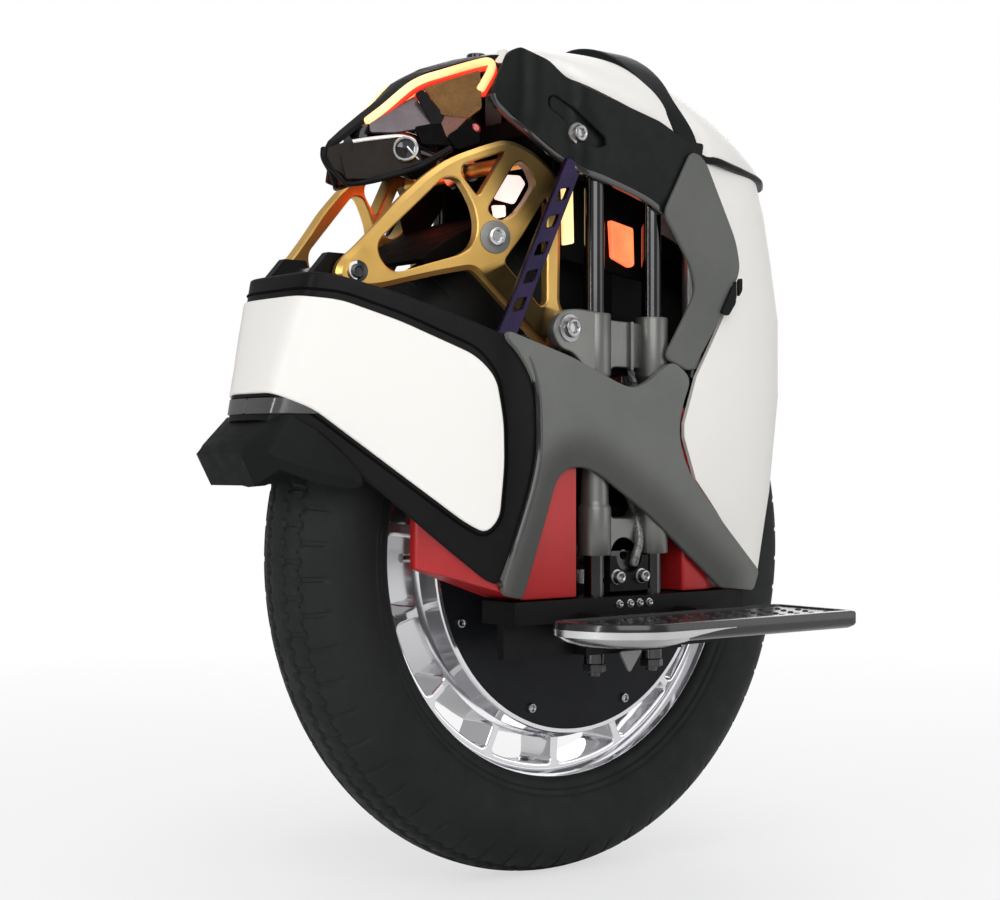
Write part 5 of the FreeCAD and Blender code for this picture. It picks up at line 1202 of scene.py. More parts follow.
@dataclass
class SwingArm:
    """The pair of bevelled truss plates of the suspension arm, in millimetres."""

    pivot_x: float = 195.0
    pivot_y: float = 38.5
    slope: float = 0.2586
    face: float = 4.3
    back: float = 6.0
    bevel: float = 3.2
    outline: Sequence = (
        (207, 412), (204, 420), (194, 429), (180, 444), (163.9, 462.6), (147.6, 478), (135.3, 487.4),
        (123.5, 493.9), (106, 501), (93, 505.5), (84, 505), (71, 499.5), (58, 489), (51.5, 480),
        (50.5, 470), (51.5, 430), (52, 398), (46, 388), (45, 378), (51, 370), (60, 367.5), (69.6, 374),
        (114.5, 419), (137.7, 414), (158.1, 408.8), (170.2, 405.5), (178.2, 403.5), (187, 402.5),
        (197, 402), (204, 405.5),
    )
    windows: Sequence = (
        (
            (179.5, 430.2), (177.5, 435.4), (135.7, 476.9), (129.5, 478.3), (124, 477), (118.4, 468.9),
            (113.6, 459.4), (111.5, 449.6), (112.1, 440.4), (116.3, 432.3), (124, 427.3), (144.5, 421),
            (161.5, 415.3), (168.2, 414.1), (174.2, 417.6), (178.2, 423.8),
        ),
        ((122, 487), (91.5, 498), (110.8, 466), (122.9, 480.5)),
        (
            (81, 492.5), (75, 488), (70.5, 477.4), (77.5, 465.5), (85.5, 456), (94, 451.5), (101, 454),
            (104.5, 458.7), (85.5, 490),
        ),
        ((62, 470), (62, 399), (66, 395), (93, 424.5), (88, 432), (81, 441), (74, 452), (66.5, 464)),
    )
    leg_top: Sequence[float] = (110, 424)
    leg_run: Sequence[float] = (44, 46)
    leg_fade: Sequence[float] = (1, 9)
    leg_face: float = 3.5
    leg_end: float = 64.0
    top_spot: Sequence[float] = (62, 492)
    top_fade: Sequence[float] = (28, 56)
    bolt: Sequence[float] = (99.5, 440.4)
    ring: Sequence[float] = (193.0, 413.5)
    cap: Bolt = Bolt(7.0, 1.0, 4.6, 2.6)
    big: Bolt = Bolt(11, 1.4, 6.2, 4.4)

    def place(self, u: Array, v: Array, w: Array) -> Array:
        """The slanted plane of the left plate, with the height square to it."""
        stretch = math.hypot(1, self.slope)
        x = u + w * self.slope / stretch
        return np.stack([x, self.pivot_y + (self.pivot_x - u) * self.slope + w / stretch, v], 1)

    def shade(self, points: Array) -> Array:
        """Painted shade, where the plate lies in shadow: one on the plate, falling to 0.06 on the outer
        face of the lower rear leg and to 0.12 at the top.

        The fall runs with the distance along the leg from leg_top, and the face is where the height over
        the slanted plane is more than leg_face. At the top it runs with the distance from top_spot.
        """
        x, y, z = points.T
        height = (y - self.pivot_y - (self.pivot_x - x) * self.slope) / math.hypot(1, self.slope)
        (top_x, top_z), (run_x, run_z) = self.leg_top, self.leg_run
        along = ((top_x - x) * run_x + (top_z - z) * run_z) / math.hypot(run_x, run_z)
        on_leg = (height > self.leg_face) * (x > self.leg_end) * (z < top_z)
        leg = 1 - 0.94 * smooth_step(*self.leg_fade, along) * on_leg
        far = np.hypot(x - self.top_spot[0], z - self.top_spot[1])
        return leg * (0.12 + 0.88 * smooth_step(*self.top_fade, far))

    def spot(self, u: float, v: float) -> Array:
        """A point on the outer face of the left plate."""
        return self.place(np.array([u]), np.array([v]), np.array([self.face]))[0]

    def build(self) -> None:
        """The plates, with the big bolt and the pivot ring on their outer faces."""
        outline = resampled(rounded(self.outline, 5, 8), 1.8)
        holes = [resampled(rounded(window, 3.5, 8), 1.6) for window in self.windows]
        heights = level(-self.back), level(self.face)
        slabs = plate(outline, holes, *heights, self.place, 0.9, facets=1, edge=self.bevel)
        # painted shade on the lower rear leg and the top of the plates
        shade = self.shade(slabs.points)
        piece(
            "arm_truss_plates", slabs.both(), Paint.gold, "arm", ["arm_plates"], "gold",
            shade=np.tile(shade, 2),
        )
        axis = unit(np.array([self.slope, 1, 0]))
        seat, big = self.spot(*self.bolt), self.big
        rest = washer(seat, axis, big.outer, big.thick)
        piece("arm_washers", rest.both(), Paint.dull, "arm", ["arm_bolts"], "steel")
        head = socket_bolt(seat + axis * big.thick, axis, big.head, big.tall)
        piece("arm_big_bolts", head.both(), Paint.silver, "arm", slot="steel")
        pivot = self.cap.on(self.spot(*self.ring), axis)
        piece("arm_pivot_caps", pivot.both(), Paint.steel_dark, "arm", slot="steel")


@dataclass
class Visor:
    """The narrow beak over the front with lit edges, faceted cheeks and lenses, in millimetres."""

    ridge: Sequence = (
        (60, 577.6), (68, 576), (77, 573.4), (85.7, 570.9), (103, 564.6), (111.8, 561.4), (120.3, 556.7),
        (128.8, 551.5), (137.1, 544.2), (145.4, 537), (162, 524.5), (178, 511.6), (187.5, 503.2),
        (190.7, 497.6),
    )
    rim: Sequence = (
        (56, 64, 560), (64, 59, 565), (74, 52, 567.5), (84, 43, 567.5), (97, 28, 563.5), (108, 21, 559.5),
        (118, 16.5, 556), (127, 13.5, 551), (135.5, 11, 544), (144, 9.5, 536), (158, 7.5, 524.5),
        (175, 5, 511), (186, 3, 502), (190.5, 1.2, 497),
    )
    thick: float = 3.0
    tube: Sequence = (
        (158.5, 4.5, 519.3), (146.4, 7, 529.1), (135.8, 9.5, 538.8), (127.6, 12, 545.9), (118.9, 15, 551),
        (109.1, 19, 554.8), (97.4, 26, 559.3), (87.2, 35, 562.9), (82.6, 38, 563.8), (80, 39, 561.9),
        (82.5, 40, 556), (87.7, 41, 549), (92, 42, 543.5),
    )
    chin: Sequence = (
        (190.7, 0, 497.6), (190.7, 0, 492.3), (187.8, 0.5, 487.9), (183.3, 2, 483.6), (179.9, 4, 479.1),
        (175.5, 8, 475.6), (163, 24, 478), (139, 36, 487), (122, 47, 499),
    )
    front_facet: Sequence = (
        (160.2, 8, 515.9), (127.4, 14, 538.5), (125, 22, 529.5), (120.1, 30, 514.8), (149.1, 22, 511.2),
        (162.2, 12, 509.7),
    )
    fin: Sequence = (
        (129.5, 18, 538.8), (124.6, 19.5, 542.2), (116.4, 34, 523.5), (120.7, 34, 514.2),
        (125.1, 32, 515.6),
    )
    rear_facet: Sequence = (
        (122, 18, 544), (91.3, 40, 556.1), (97.6, 50, 528.7), (106.4, 46, 521.5), (117.5, 32, 523.6),
    )
    low_facet: Sequence = ((117.5, 32, 523.6), (105.6, 45, 521.8), (119.3, 42, 506.6), (125.2, 30, 514.9))
    liner: Sequence = (
        (182, 4.5, 497.6), (174, 11, 503.2), (140.5, 29, 506), (136, 36, 488.3), (164.7, 26, 478),
        (180, 10, 477),
    )
    cover: Sequence = ((122, 43, 508), (106, 49, 520), (102, 52, 518), (102, 53, 504), (118, 48, 499))
    jaw: Sequence = (
        (189, 1.5, 498.5), (175, 9.5, 504), (175, 10.5, 477.5), (183.5, 2.5, 484), (190, 1, 492),
    )
    keel: Sequence = ((136, 26, 515), (119, 32, 518), (110, 45, 514), (119, 44, 501), (136, 34, 502))
    clevis: Slice = Slice(((150, 499), (165, 499), (165, 504), (158, 508), (150, 508)), 2, 9.8, 11.4, 0.5)
    spine: Slice = Slice(((149.6, -6), (152.4, -6), (152.4, 6), (149.6, 6)), 1, 505, 521, 0.4)
    bridge: Slice = Slice(((149.6, -11), (152.4, -11), (152.4, 11), (149.6, 11)), 1, 503, 507, 0.4)
    button: Sequence = (
        (0, 571), (6.6, 571), (7, 571.6), (7, 577.6), (6.4, 578.3), (3.6, 578.3), (3.2, 577.9), (0, 577.9),
    )
    button_spot: Sequence[float] = (62, 0, 0)
    lens: Sequence = ((0, -9), (8, -9), (8, 4), (7.6, 5.4), (6.6, 5.4), (6.2, 4), (0, 2.6))
    lens_ring: Sequence = ((6.4, 4.2), (8.6, 4.2), (8.6, 6), (8, 6.6), (6.8, 6.6))
    lens_spot: Sequence[float] = (143.6, 28, 497.7)
    lens_axis: Sequence[float] = (0.72, 0.68, 0.1)
    brow: Sequence = ((173.8, 9, 503), (161.5, 16, 505.4), (147, 24, 507.3), (139.5, 27.5, 505.8))
    glint: Sequence = ((147, 33, 499.5), (143.5, 35, 495), (140, 36, 491.5))
    tube_step: Sequence[float] = (2.6, 3.0, -0.9)
    tray_step: Sequence[float] = (-2.0, -1.2, -2.4)
    red_lamp: Sequence = ((0, 0), (3.8, 0), (3.8, 4), (3, 5.4), (0, 6))
    red_spot: Sequence[float] = (101.5, 47.5, 514)
    red_axis: Sequence[float] = (0.65, 0.72, 0)
    corner: Sequence = ((78.8, 43, 570.9), (76.6, 52, 571), (81, 52, 560.9), (80.5, 44, 562.4))

    def roof(self, drop: float) -> Array:
        """Points of the roof: each row runs from rim to rim as ridge less (ridge - rim) times the
        share across to the power 1.3, let down by the given amount."""
        along = np.linspace(0, 1, 66)
        knots = np.linspace(0, 1, len(self.ridge))
        ridge = np.stack(
            [np.interp(along, knots, np.asarray(self.ridge, float)[:, i]) for i in range(2)], 1,
        )
        rim = np.stack([np.interp(along, knots, np.asarray(self.rim, float)[:, i]) for i in range(3)], 1)
        share = np.linspace(-1, 1, 25)
        weight = np.abs(share)[None, :] ** 1.3
        x = ridge[:, :1] + (rim[:, :1] - ridge[:, :1]) * weight
        y = np.maximum(rim[:, 1:2], 1.0) * share[None, :]
        z = ridge[:, 1:] + (rim[:, 2:] - ridge[:, 1:]) * weight - drop
        return np.stack([x - drop * 0.5, y, z], -1)

    def build(self) -> None:
        """Roof, chin bar, facets, lenses and lit tubes."""
        self.hood()
        self.facets()
        bracket = joined(self.clevis.made().both(), self.spine.made(top_place), self.bridge.made(top_place))
        piece("shock_clevis", bracket, Paint.black, "chassis", ["shock_bracket"], "frame_black")
        button = turned(self.button, self.button_spot, UP, 40)
        piece("button_disc", button, Paint.gloss, "power_button", ["power_button"], "frame_black")
        piece("visor_corners", slab(self.corner, 1.6).both(), Paint.white, "chassis", slot="shell_white")
        self.lights()

    def hood(self) -> None:
        """The roof as a closed shell, and the bar under its front."""
        roof = shell(self.roof(0), self.roof(self.thick))
        piece("visor_roof", roof, Paint.head, "chassis", ["visor_hood"], "visor_dark", 40)
        chin = rod(curve_through(self.chin, 6), 2.3, 12, (0, 1, 0.3))
        piece("visor_chin", chin.both(), Paint.black, "chassis", slot="visor_dark")

    def facets(self) -> None:
        """Thin plates inside the beak."""
        for name, corners, finish in (
            ("visor_front_facets", self.front_facet, Paint.facet), ("visor_fins", self.fin, Paint.black),
            # the rear facets' amber-brown is painted amber light from the tubes
            ("visor_rear_facets", self.rear_facet, Paint.amber_lit_reflector),
            ("visor_low_facets", self.low_facet, Paint.rose),
            # the covers and keels are dark sheets of painted shadow
            ("visor_liners", self.liner, Paint.liner), ("visor_shadow_covers", self.cover, Paint.black_and_shadow),
            ("visor_jaws", self.jaw, Paint.liner), ("visor_keels", self.keel, Paint.black_and_shadow),
        ):
            piece(name, slab(corners, 1.8).both(), finish, "chassis", slot="visor_dark")

    def lights(self) -> None:
        """Lenses with their bright rims, the lit tubes in trays that glow with painted light, and the red
        lamps.
        """
        lens = turned(self.lens, self.lens_spot, self.lens_axis, 40)
        bright = joined(
            turned(self.lens_ring, self.lens_spot, self.lens_axis, 40, ring=True),
            rod(curve_through(self.brow, 6), 1.7), rod(curve_through(self.glint, 6), 0.8),
        )
        piece("visor_lenses", lens.both(), Paint.lens, "chassis", ["headlamps"], "lamp_white")
        piece("visor_lens_rings", bright.both(), Paint.silver, "chassis", slot="steel")
        line = curve_through(np.asarray(self.tube, float) + self.tube_step, 6)
        piece(
            "visor_light_tubes", rod(line, 2.9, 14).both(), Paint.tube, "chassis", ["light_tubes"],
            "light_orange",
        )
        # the tray's red glow is painted light from the tube
        tray = rod(line + np.array(self.tray_step), 3.1, 12)
        piece("visor_light_trays", tray.both(), Paint.painted_tray_glow, "chassis", slot="light_orange")
        lamp = turned(self.red_lamp, self.red_spot, self.red_axis, 24)
        piece("visor_red_lamps", lamp.both(), Paint.tail, "chassis", slot="lamp_red")


@dataclass
class Pedals:
    """The folding pedals with their polished lips and studs, in millimetres."""

    outline: Sequence = ((106, 127), (108, 150), (98, 176), (74, 194), (-108, 199.5), (-111, 125))
    reach: Sequence[float] = (10, 10, 12, 12, 3, 5)
    top: float = 192.0
    block: Sequence = (
        (14, 178.8), (3.5, 180.2), (0.8, 182), (0, 183.4), (0, 190.2), (0.6, 191.4), (1.8, 192), (4.5, 192),
        (5.2, 190.8),
    )
    lip: Sequence = ((0.9, 187), (0.5, 182.5), (-4, 179), (-15, 175.8), (-18, 177), (-7, 181), (-1.5, 185))
    lip_end: float = 5.0
    tongue: Slice = Slice(((-38, 112), (38, 112), (38, 132), (-38, 132)), 3, 178.5, 189, 1.0)
    barrel: Sequence = ((0, -37), (5.4, -37), (6.2, -36.2), (6.2, 36.2), (5.4, 37), (0, 37))
    hinge: Sequence[float] = (0, 112, 183)
    stud: Sequence = ((0, -1), (2.4, -1), (2.0, 0.5), (1.4, 0.9), (0, 0.9))
    stud_xs: Sequence = (-92, 88, 13)
    stud_ys: Sequence = (136, 186, 5)
    stud_shift: float = 7.0
    stud_sink: float = 1.2
    stud_margin: float = 11.0

    def lip_surface(self) -> Surface:
        """The lip under the front: a section carried along the outline, thinner towards both ends.

        A pair (o, h) of the section becomes the outline moved out by o, at the height 187 + (h - 187) k,
        where k rises from 0.1 to one over the first eighth of the run and falls over the last third.
        """
        ring = resampled(rounded(self.outline, self.reach, 10), 4)
        path = ring[: int(np.argmax(ring[:, 0] < self.lip_end))]
        ahead = unit(np.gradient(path, axis=0))
        out = np.stack([ahead[:, 1], -ahead[:, 0]], 1)
        share = np.linspace(0, 1, len(path))
        thin = 0.1 + 0.9 * smooth_step(0, 0.12, share) * (1 - smooth_step(0.66, 1, share))
        section = np.asarray(self.lip, float)
        flat = path[:, None] + out[:, None] * section[None, :, :1] * np.maximum(thin, 0.3)[:, None, None]
        height = self.lip[0][1] + (section[:, 1] - self.lip[0][1]) * thin[:, None]
        return capped(np.concatenate([flat, height[..., None]], 2))

    def build(self) -> None:
        """Left and right pedal, each on its own hinge."""
        block = stacked(self.outline, self.reach, self.block, top_place)
        base = joined(block, self.tongue.made(top_place), turned(self.barrel, self.hinge, AHEAD, 32))
        lip = self.lip_surface()
        x, y = np.meshgrid(np.linspace(*self.stud_xs), np.linspace(*self.stud_ys))
        x = x + np.where(np.arange(len(x))[:, None] % 2, self.stud_shift, 0.0)
        spots = np.stack([x.ravel(), y.ravel()], 1)
        spots = spots[inside(spots, [inset(np.asarray(self.outline, float), self.stud_margin)])]
        studs = joined(*[turned(self.stud, (*spot, self.top - self.stud_sink), UP, 8) for spot in spots])
        for side, shape in (("left", lambda s: s), ("right", lambda s: s.mirrored())):
            body = f"pedal_{side}"
            piece(f"{body}_plate", shape(base), Paint.pedal, body, [body], "frame_black")
            piece(f"{body}_lip", shape(lip), Paint.silver, body, slot="steel")
            piece(f"{body}_studs", shape(studs), Paint.grip, body, slot="rubber_black")


@dataclass
class Rim:
    """The polished rim: lip and barrel, a web with fifteen windows and the inner ring, in millimetres."""

    centre_z: float = 228.5
    count: int = 15
    first: float = -52.4
    lip: Sequence = (
        (152.5, 0), (152.5, 10), (153.6, 15), (157.0, 21), (160.6, 26.6), (161.6, 28.8), (163, 29.8),
        (165.4, 30), (166.4, 29), (166.3, 27.4), (158.6, 26), (157, 20),
    )
    ring: Sequence = (
        (123.6, 36.6), (124.2, 37.8), (126.8, 37.8), (127.6, 36.8), (128.2, 30), (129.6, 22), (132.5, 18),
        (132.5, 10),
    )
    window_low: float = 131.0
    window_high: float = 151.0
    spoke: float = 7.0
    web_half: float = 17.0
    web_outer: float = 156.0
    web_inner: float = 126.0

    def place(self, u: Array, v: Array, w: Array) -> Array:
        """The wheel's plane about its axis, with the height across it."""
        return np.stack([u, w, v + self.centre_z], 1)

    def window(self, middle: float) -> Array:
        """One window: a rounded four-sided opening between two spokes at an angle in degrees."""
        half = 180 / self.count
        inner = half - math.degrees(self.spoke / self.window_low) / 2
        outer = half - math.degrees(self.spoke / self.window_high) / 2
        t = np.radians(middle + np.array([-inner, 0, inner, outer, outer / 2, 0, -outer / 2, -outer]))
        r = np.array([self.window_low] * 3 + [self.window_high] * 5)
        return rounded(np.stack([r * np.cos(t), r * np.sin(t)], 1), 4.5)

    def build(self) -> None:
        """Turned lip and ring with the pierced web between them."""
        centre = (0, 0, self.centre_z)
        half, inner = np.asarray(self.lip, float), np.asarray(self.ring, float)
        section = np.concatenate([half, (half[1:] * (1, -1))[::-1]])
        drum = np.concatenate([inner, (inner * (1, -1))[::-1]])
        windows = [self.window(self.first + 360 / self.count * i) for i in range(self.count)]
        heights = level(-self.web_half), level(self.web_half)
        web = plate(
            circle(self.web_outer, 180), [circle(self.web_inner, 120), *windows], *heights, self.place, 1.6,
        )
        surface = joined(*[turned(rows, centre, SIDE, 180, ring=True) for rows in (section, drum)], web)
        piece("rim_with_spokes", surface, Paint.polished, "wheel", ["rim"], "rim_polished", 24)


@dataclass
class Sliders:
    """The sliders that carry the axle on the guide rods, with webs, blocks and ears, in millimetres."""

    spread: float = 27.0
    y: float = 84.0
    tube: Sequence = (
        (7.4, 229), (10.9, 229), (11.4, 229.8), (11.4, 260), (11.0, 262), (9.9, 263.5), (9.7, 266),
        (9.7, 346), (10.0, 349), (11.0, 350.5), (11.4, 352), (11.4, 391.5), (10.8, 392.6), (7.4, 392.6),
    )
    ear: Slice = Slice(
        (
            (26, 393), (50, 394.5), (62, 393), (70, 385), (71, 376), (65, 367), (54, 365), (40, 352),
            (26, 351),
        ),
        7, 84, 92.6, 1.3,
    )
    web: Slice = Slice(
        ((-28, 388), (28, 390), (28, 354), (14, 352), (8, 357), (-16, 357), (-20, 353), (-28, 353)),
        2, 77, 83, 1.0,
    )
    rib: Slice = Slice(((-9, 389), (-6, 389), (-6, 355), (-9, 355)), 1.4, 81, 85.5, 0.4)
    block: Slice = Slice(
        ((-30, 263), (-16, 262), (-10, 254), (10, 254), (16, 262), (30, 263), (30, 230), (-30, 230)),
        3, 72.5, 84, 1.2,
    )
    screen: Slice = Slice(((-16, 262), (16, 262), (16, 222), (-16, 222)), 3, 69.5, 71.5, 0.5)
    cable: Sequence = (
        (0, 62, 306), (-4, 68, 292), (-11, 73, 276), (-15, 78, 262), (-14, 83, 251), (-13, 86, 241),
        (-11, 87.5, 234), (-8, 88, 228), (-7, 87, 222),
    )
    cable_radius: float = 3.2
    tab: Sequence = ((22.1, 103, 165), (0.6, 103, 165), (12.8, 103, 149.9))
    tab_thick: float = 2.0
    tab_reach: float = 2.6

    def build(self) -> None:
        """Turned tubes joined by flat webs, an ear for the arm's bolt, and the cable between them."""
        tubes = [turned(self.tube, (x, self.y, 0), UP, ring=True) for x in (self.spread, -self.spread)]
        flats = [part.made() for part in (self.ear, self.web, self.rib, self.block)]
        piece(
            "slider_pair", joined(*tubes, *flats).both(), Paint.gunmetal, "carriage", ["sliders"],
            "gunmetal",
        )
        cable = rod(curve_through(self.cable), self.cable_radius, 14, AHEAD)
        piece("braided_cable", cable, Paint.braid, "carriage", ["motor_cable"], "rubber_black")
        tab = slab(self.tab, self.tab_thick, self.tab_reach)
        piece("bracket_tabs", tab.both(), Paint.dull, "chassis", slot="steel")
        # a dark sheet of painted shadow behind the block
        piece("slider_shadow_screens", self.screen.made().both(), Paint.black_and_shadow, "carriage", slot="frame_black")


@dataclass
class Fixings:
    """Bolts, screws and nuts, in millimetres."""

    bracket: Bolt = Bolt(3.0, 0.7, 2.2, 1.8)
    bracket_xs: Sequence[float] = (-13, -4, 5, 15)
    bracket_yz: Sequence[float] = (95.6, 196)
    head: Bolt = Bolt(7.4, 2.2, 5.6, 4.0)
    head_spot: Sequence[float] = (49, 90.2, 511.5)
    nut: Sequence = ((0, 150), (6.4, 150), (7, 150.8), (7, 155.2), (6.4, 156), (0, 156))
    tip: Sequence = ((0, 147), (3.4, 147), (4, 147.8), (4, 150), (0, 150))
    rod_spots: Sequence = ((-27, 84, 0), (27, 84, 0))
    cap: Bolt = Bolt(5.4, 0.9, 4.3, 4.4)
    cap_spots: Sequence = ((-11, 90, 213.8), (12, 90, 213.8))
    lug: Bolt = Bolt(9.4, 1.2, 6.6, 4.2)
    lug_spot: Sequence[float] = (57, 92.6, 381)
    shank: Sequence = ((0, 66), (5, 66), (5, 93), (0, 93))
    screw_centre: Sequence[float] = (0, 38, 228.5)
    screw_circle: float = 115.0
    screw_first: float = 22.5
    screw_count: int = 8
    screw_head: Sequence[float] = (3.4, 2.2)

    def build(self) -> None:
        """Each group rides with the body that it is screwed into."""
        row = [self.bracket.on((x, *self.bracket_yz)) for x in self.bracket_xs]
        bolts = joined(*row, self.head.on(self.head_spot))
        piece("chassis_bolts", bolts.both(), Paint.steel, "chassis", ["chassis_fixings"], "steel")
        nuts = [turned(self.nut, spot, UP, 36, hex_rows=(1, 2, 3, 4)) for spot in self.rod_spots]
        tips = [turned(self.tip, spot, UP, 24) for spot in self.rod_spots]
        piece("rod_nuts", joined(*nuts, *tips).both(), Paint.steel_dark, "chassis", slot="steel")
        x, _, z = self.lug_spot
        shank = turned(self.shank, (x, 0, z), SIDE, 24)
        heads = joined(*[self.cap.on(spot) for spot in self.cap_spots], self.lug.on(self.lug_spot), shank)
        piece("carriage_bolt_heads", heads.both(), Paint.steel, "carriage", ["carriage_bolts"], "steel")
        turn = np.radians(self.screw_first + 360 / self.screw_count * np.arange(self.screw_count))
        ring = self.screw_circle * np.stack([np.cos(turn), np.zeros_like(turn), np.sin(turn)], 1)
        screws = joined(*[socket_bolt(spot, SIDE, *self.screw_head) for spot in ring + self.screw_centre])
        piece("hub_screws", screws.both(), Paint.steel, "wheel", ["cover_screws"], "steel")


@dataclass
class Struts:
    """The slotted bars between the nose and the head, in millimetres."""

    low: Sequence[float] = (108, 377)
    high: Sequence[float] = (52, 490)
    half: float = 7.0
    inner: float = 87.2
    outer: float = 91.4
    foot: Sequence = ((-12, -7.5), (-14, 6), (6, 7.0))
    slot: Sequence = ((0, -3.6), (9, -3.6), (15, 3.6), (6, 3.6))
    slot_first: float = 12.0
    slot_pitch: float = 21.0
    slot_count: int = 5

    def build(self) -> None:
        """A bar along the line from low to high, pierced by slanted slots."""
        low, high = np.asarray(self.low, float), np.asarray(self.high, float)
        length = float(np.linalg.norm(high - low))
        along = (high - low) / length
        side = np.array([-along[1], along[0]])

        def place(u: Array, v: Array, w: Array) -> Array:
            flat = low + u[:, None] * along + v[:, None] * side
            return np.stack([flat[:, 0], w, flat[:, 1]], 1)

        end = length + 3
        outline = rounded([*self.foot, (end, self.half), (end, -self.half), (8, -self.half)], 3)
        starts = self.slot_first + self.slot_pitch * np.arange(self.slot_count)
        slots = [rounded(np.asarray(self.slot) + (start, 0), 1.6) for start in starts]
        bar = plate(outline, slots, level(self.inner), level(self.outer), place, 0.7)
        piece("strut_bars", bar.both(), Paint.strut, "chassis", ["struts"], "strut_blue")


@dataclass
class Guards:
    """The red guards round the battery boxes, in millimetres."""

    front: Sequence = ((50, 92), (118, 92), (146, 75), (160, 59), (160, 53), (50, 53))
    rear: Sequence = ((-50, 92), (-50, 53), (-110, 53), (-112, 58), (-112, 79), (-74, 91.5))
    low: float = 202.0
    top: float = 330.0
    rise: float = 0.34
    rise_from: float = 98.0

    def build(self) -> None:
        """Boxes whose floor rises towards the nose."""
        def floor(u: Array, v: Array) -> Array:
            return self.low + self.rise * np.maximum(u - self.rise_from, 0)

        front = plate(resampled(rounded(self.front, 1.0), 1.6), [], floor, level(self.top), top_place, 0.9)
        rear = plate(rounded(self.rear, 2), [], level(self.low), level(self.top), top_place, 0.9)
        piece(
            "battery_guards", joined(front, rear).both(), Paint.red, "chassis",
            ["battery_boxes", "battery_packs"], "box_red",
        )


@dataclass
class TopShell:
    """The white top cover with its seam, and the carrying strap over it, in millimetres."""

    stations: Sequence = (
        (64, 63, 556, 576.5), (50, 79, 551, 580.5), (36, 89, 545, 583.5), (0, 91.5, 535, 587.5),
        (-30, 91, 527, 588), (-65, 89, 512, 584), (-92, 85.5, 508.5, 576), (-120, 77, 507, 565),
        (-150, 63, 507, 550), (-175, 49, 507.5, 534), (-197, 31, 508, 519), (-213, 14, 508, 511.5),
    )
    power: float = 1.75
    wall: float = 2.4
    hollow_x: float = -65.0
    hollow_wide: float = 9.0
    hollow_deep: float = 11.0
    seam_from: float = -50.0
    seam_end: Sequence[float] = (-214, 0, 508)
    seam_radius: float = 2.9
    posts: Sequence = ((36, 573), (8, 577), (-62, 570))
    post_y: float = 30.0
    post_low: float = 533.0
    strap_x: float = -42.0
    strap_back: float = 13.0
    strap_arch: Sequence[float] = (92.0, 512.0, 592.6)
    strap_section: Sequence = ((-2.8, -14.5), (2.8, -14.5), (2.8, 14.5), (-2.8, 14.5))
    strap_thin: float = 0.62
    foot: Slice = Slice(((-70.5, 518), (-58, 518), (-56, 508), (-68, 506)), 3, 86.5, 93, 0.4)

    def arch(self, half: Array, base: Array, crown: Array, count: int) -> tuple[Array, Array]:
        """Places across and up an arch: half |cos t|^(2/n) and base + rise |sin t|^(2/n)."""
        t = np.linspace(0, math.pi, count)
        y = half[:, None] * np.sign(np.cos(t)) * np.abs(np.cos(t)) ** (2 / self.power)
        z = base[:, None] + (crown - base)[:, None] * np.abs(np.sin(t)) ** (2 / self.power)
        return y, z

    def build(self) -> None:
        """Cover, seam, posts and strap."""
        x, half, base, crown = curve_through(self.stations, 6).T
        hollow = self.hollow_deep * np.exp(-(((x - self.hollow_x) / self.hollow_wide) ** 2))
        self.cover(x, half, base, crown, hollow)
        near = np.stack([x, half - 0.4 - hollow, base], 1)[x < self.seam_from]
        seam = curve_through(np.concatenate([near[::4], [self.seam_end], (near * (1, -1, 1))[::-4]]), 4)
        piece("cover_seam", rod(seam, self.seam_radius), Paint.black, "chassis", slot="frame_black")
        low = self.post_low
        posts = [
            turned(
                [(0, low), (5, low), (5, top - 0.6), (4.4, top), (0, top)], (place, self.post_y, 0), UP, 24,
            )
            for place, top in self.posts
        ]
        piece("cover_posts", joined(*posts).both(), Paint.black, "chassis", ["roof_posts"], "frame_black")
        self.strap()

    def cover(self, x: Array, half: Array, base: Array, crown: Array, hollow: Array) -> None:
        """The cover as a closed shell of arches along the part.

        Beside each leg of the handle it is hollowed by the given depth times the square of the share
        still to rise.

        Args:
            x: places along the part.
            half: half width of the arch at each place.
            base: height of its feet.
            crown: height of its top.
            hollow: depth of the hollow at its feet.
        """
        y, z = self.arch(half, base, crown, 61)
        dent = hollow[:, None] * (1 - (z - base[:, None]) / (crown - base)[:, None]) ** 2
        inner = self.arch(half - self.wall, base, crown - self.wall, 61)
        faces = []
        for across_y, up_z in ((y, z), inner):
            across_y = across_y - np.sign(across_y) * np.minimum(dent, np.abs(across_y))
            faces.append(np.stack([np.broadcast_to(x[:, None], y.shape), across_y, up_z], -1))
        piece("top_white_cover", shell(*faces), Paint.white, "chassis", ["top_cover"], "shell_white", 40)

    def strap(self) -> None:
        """A band along one arch that narrows and leans back towards its feet on the handle's legs."""
        half, base, crown = (np.array([value]) for value in self.strap_arch)
        ys, zs = self.arch(half, base, crown, 73)
        rise = (zs[0] - base) / (crown - base)
        path = np.stack([self.strap_x - self.strap_back * (1 - smooth_step(0, 0.5, rise)), ys[0], zs[0]], 1)
        scale = self.strap_thin + (1 - self.strap_thin) * smooth_step(0.15, 0.95, rise)
        band = swept(path, rounded(self.strap_section, 2.4, 5), AHEAD, scale=scale)
        surface = joined(band, self.foot.made().both())
        piece("handle_strap", surface, Paint.head, "handle", ["handle_grip"], "head_black")


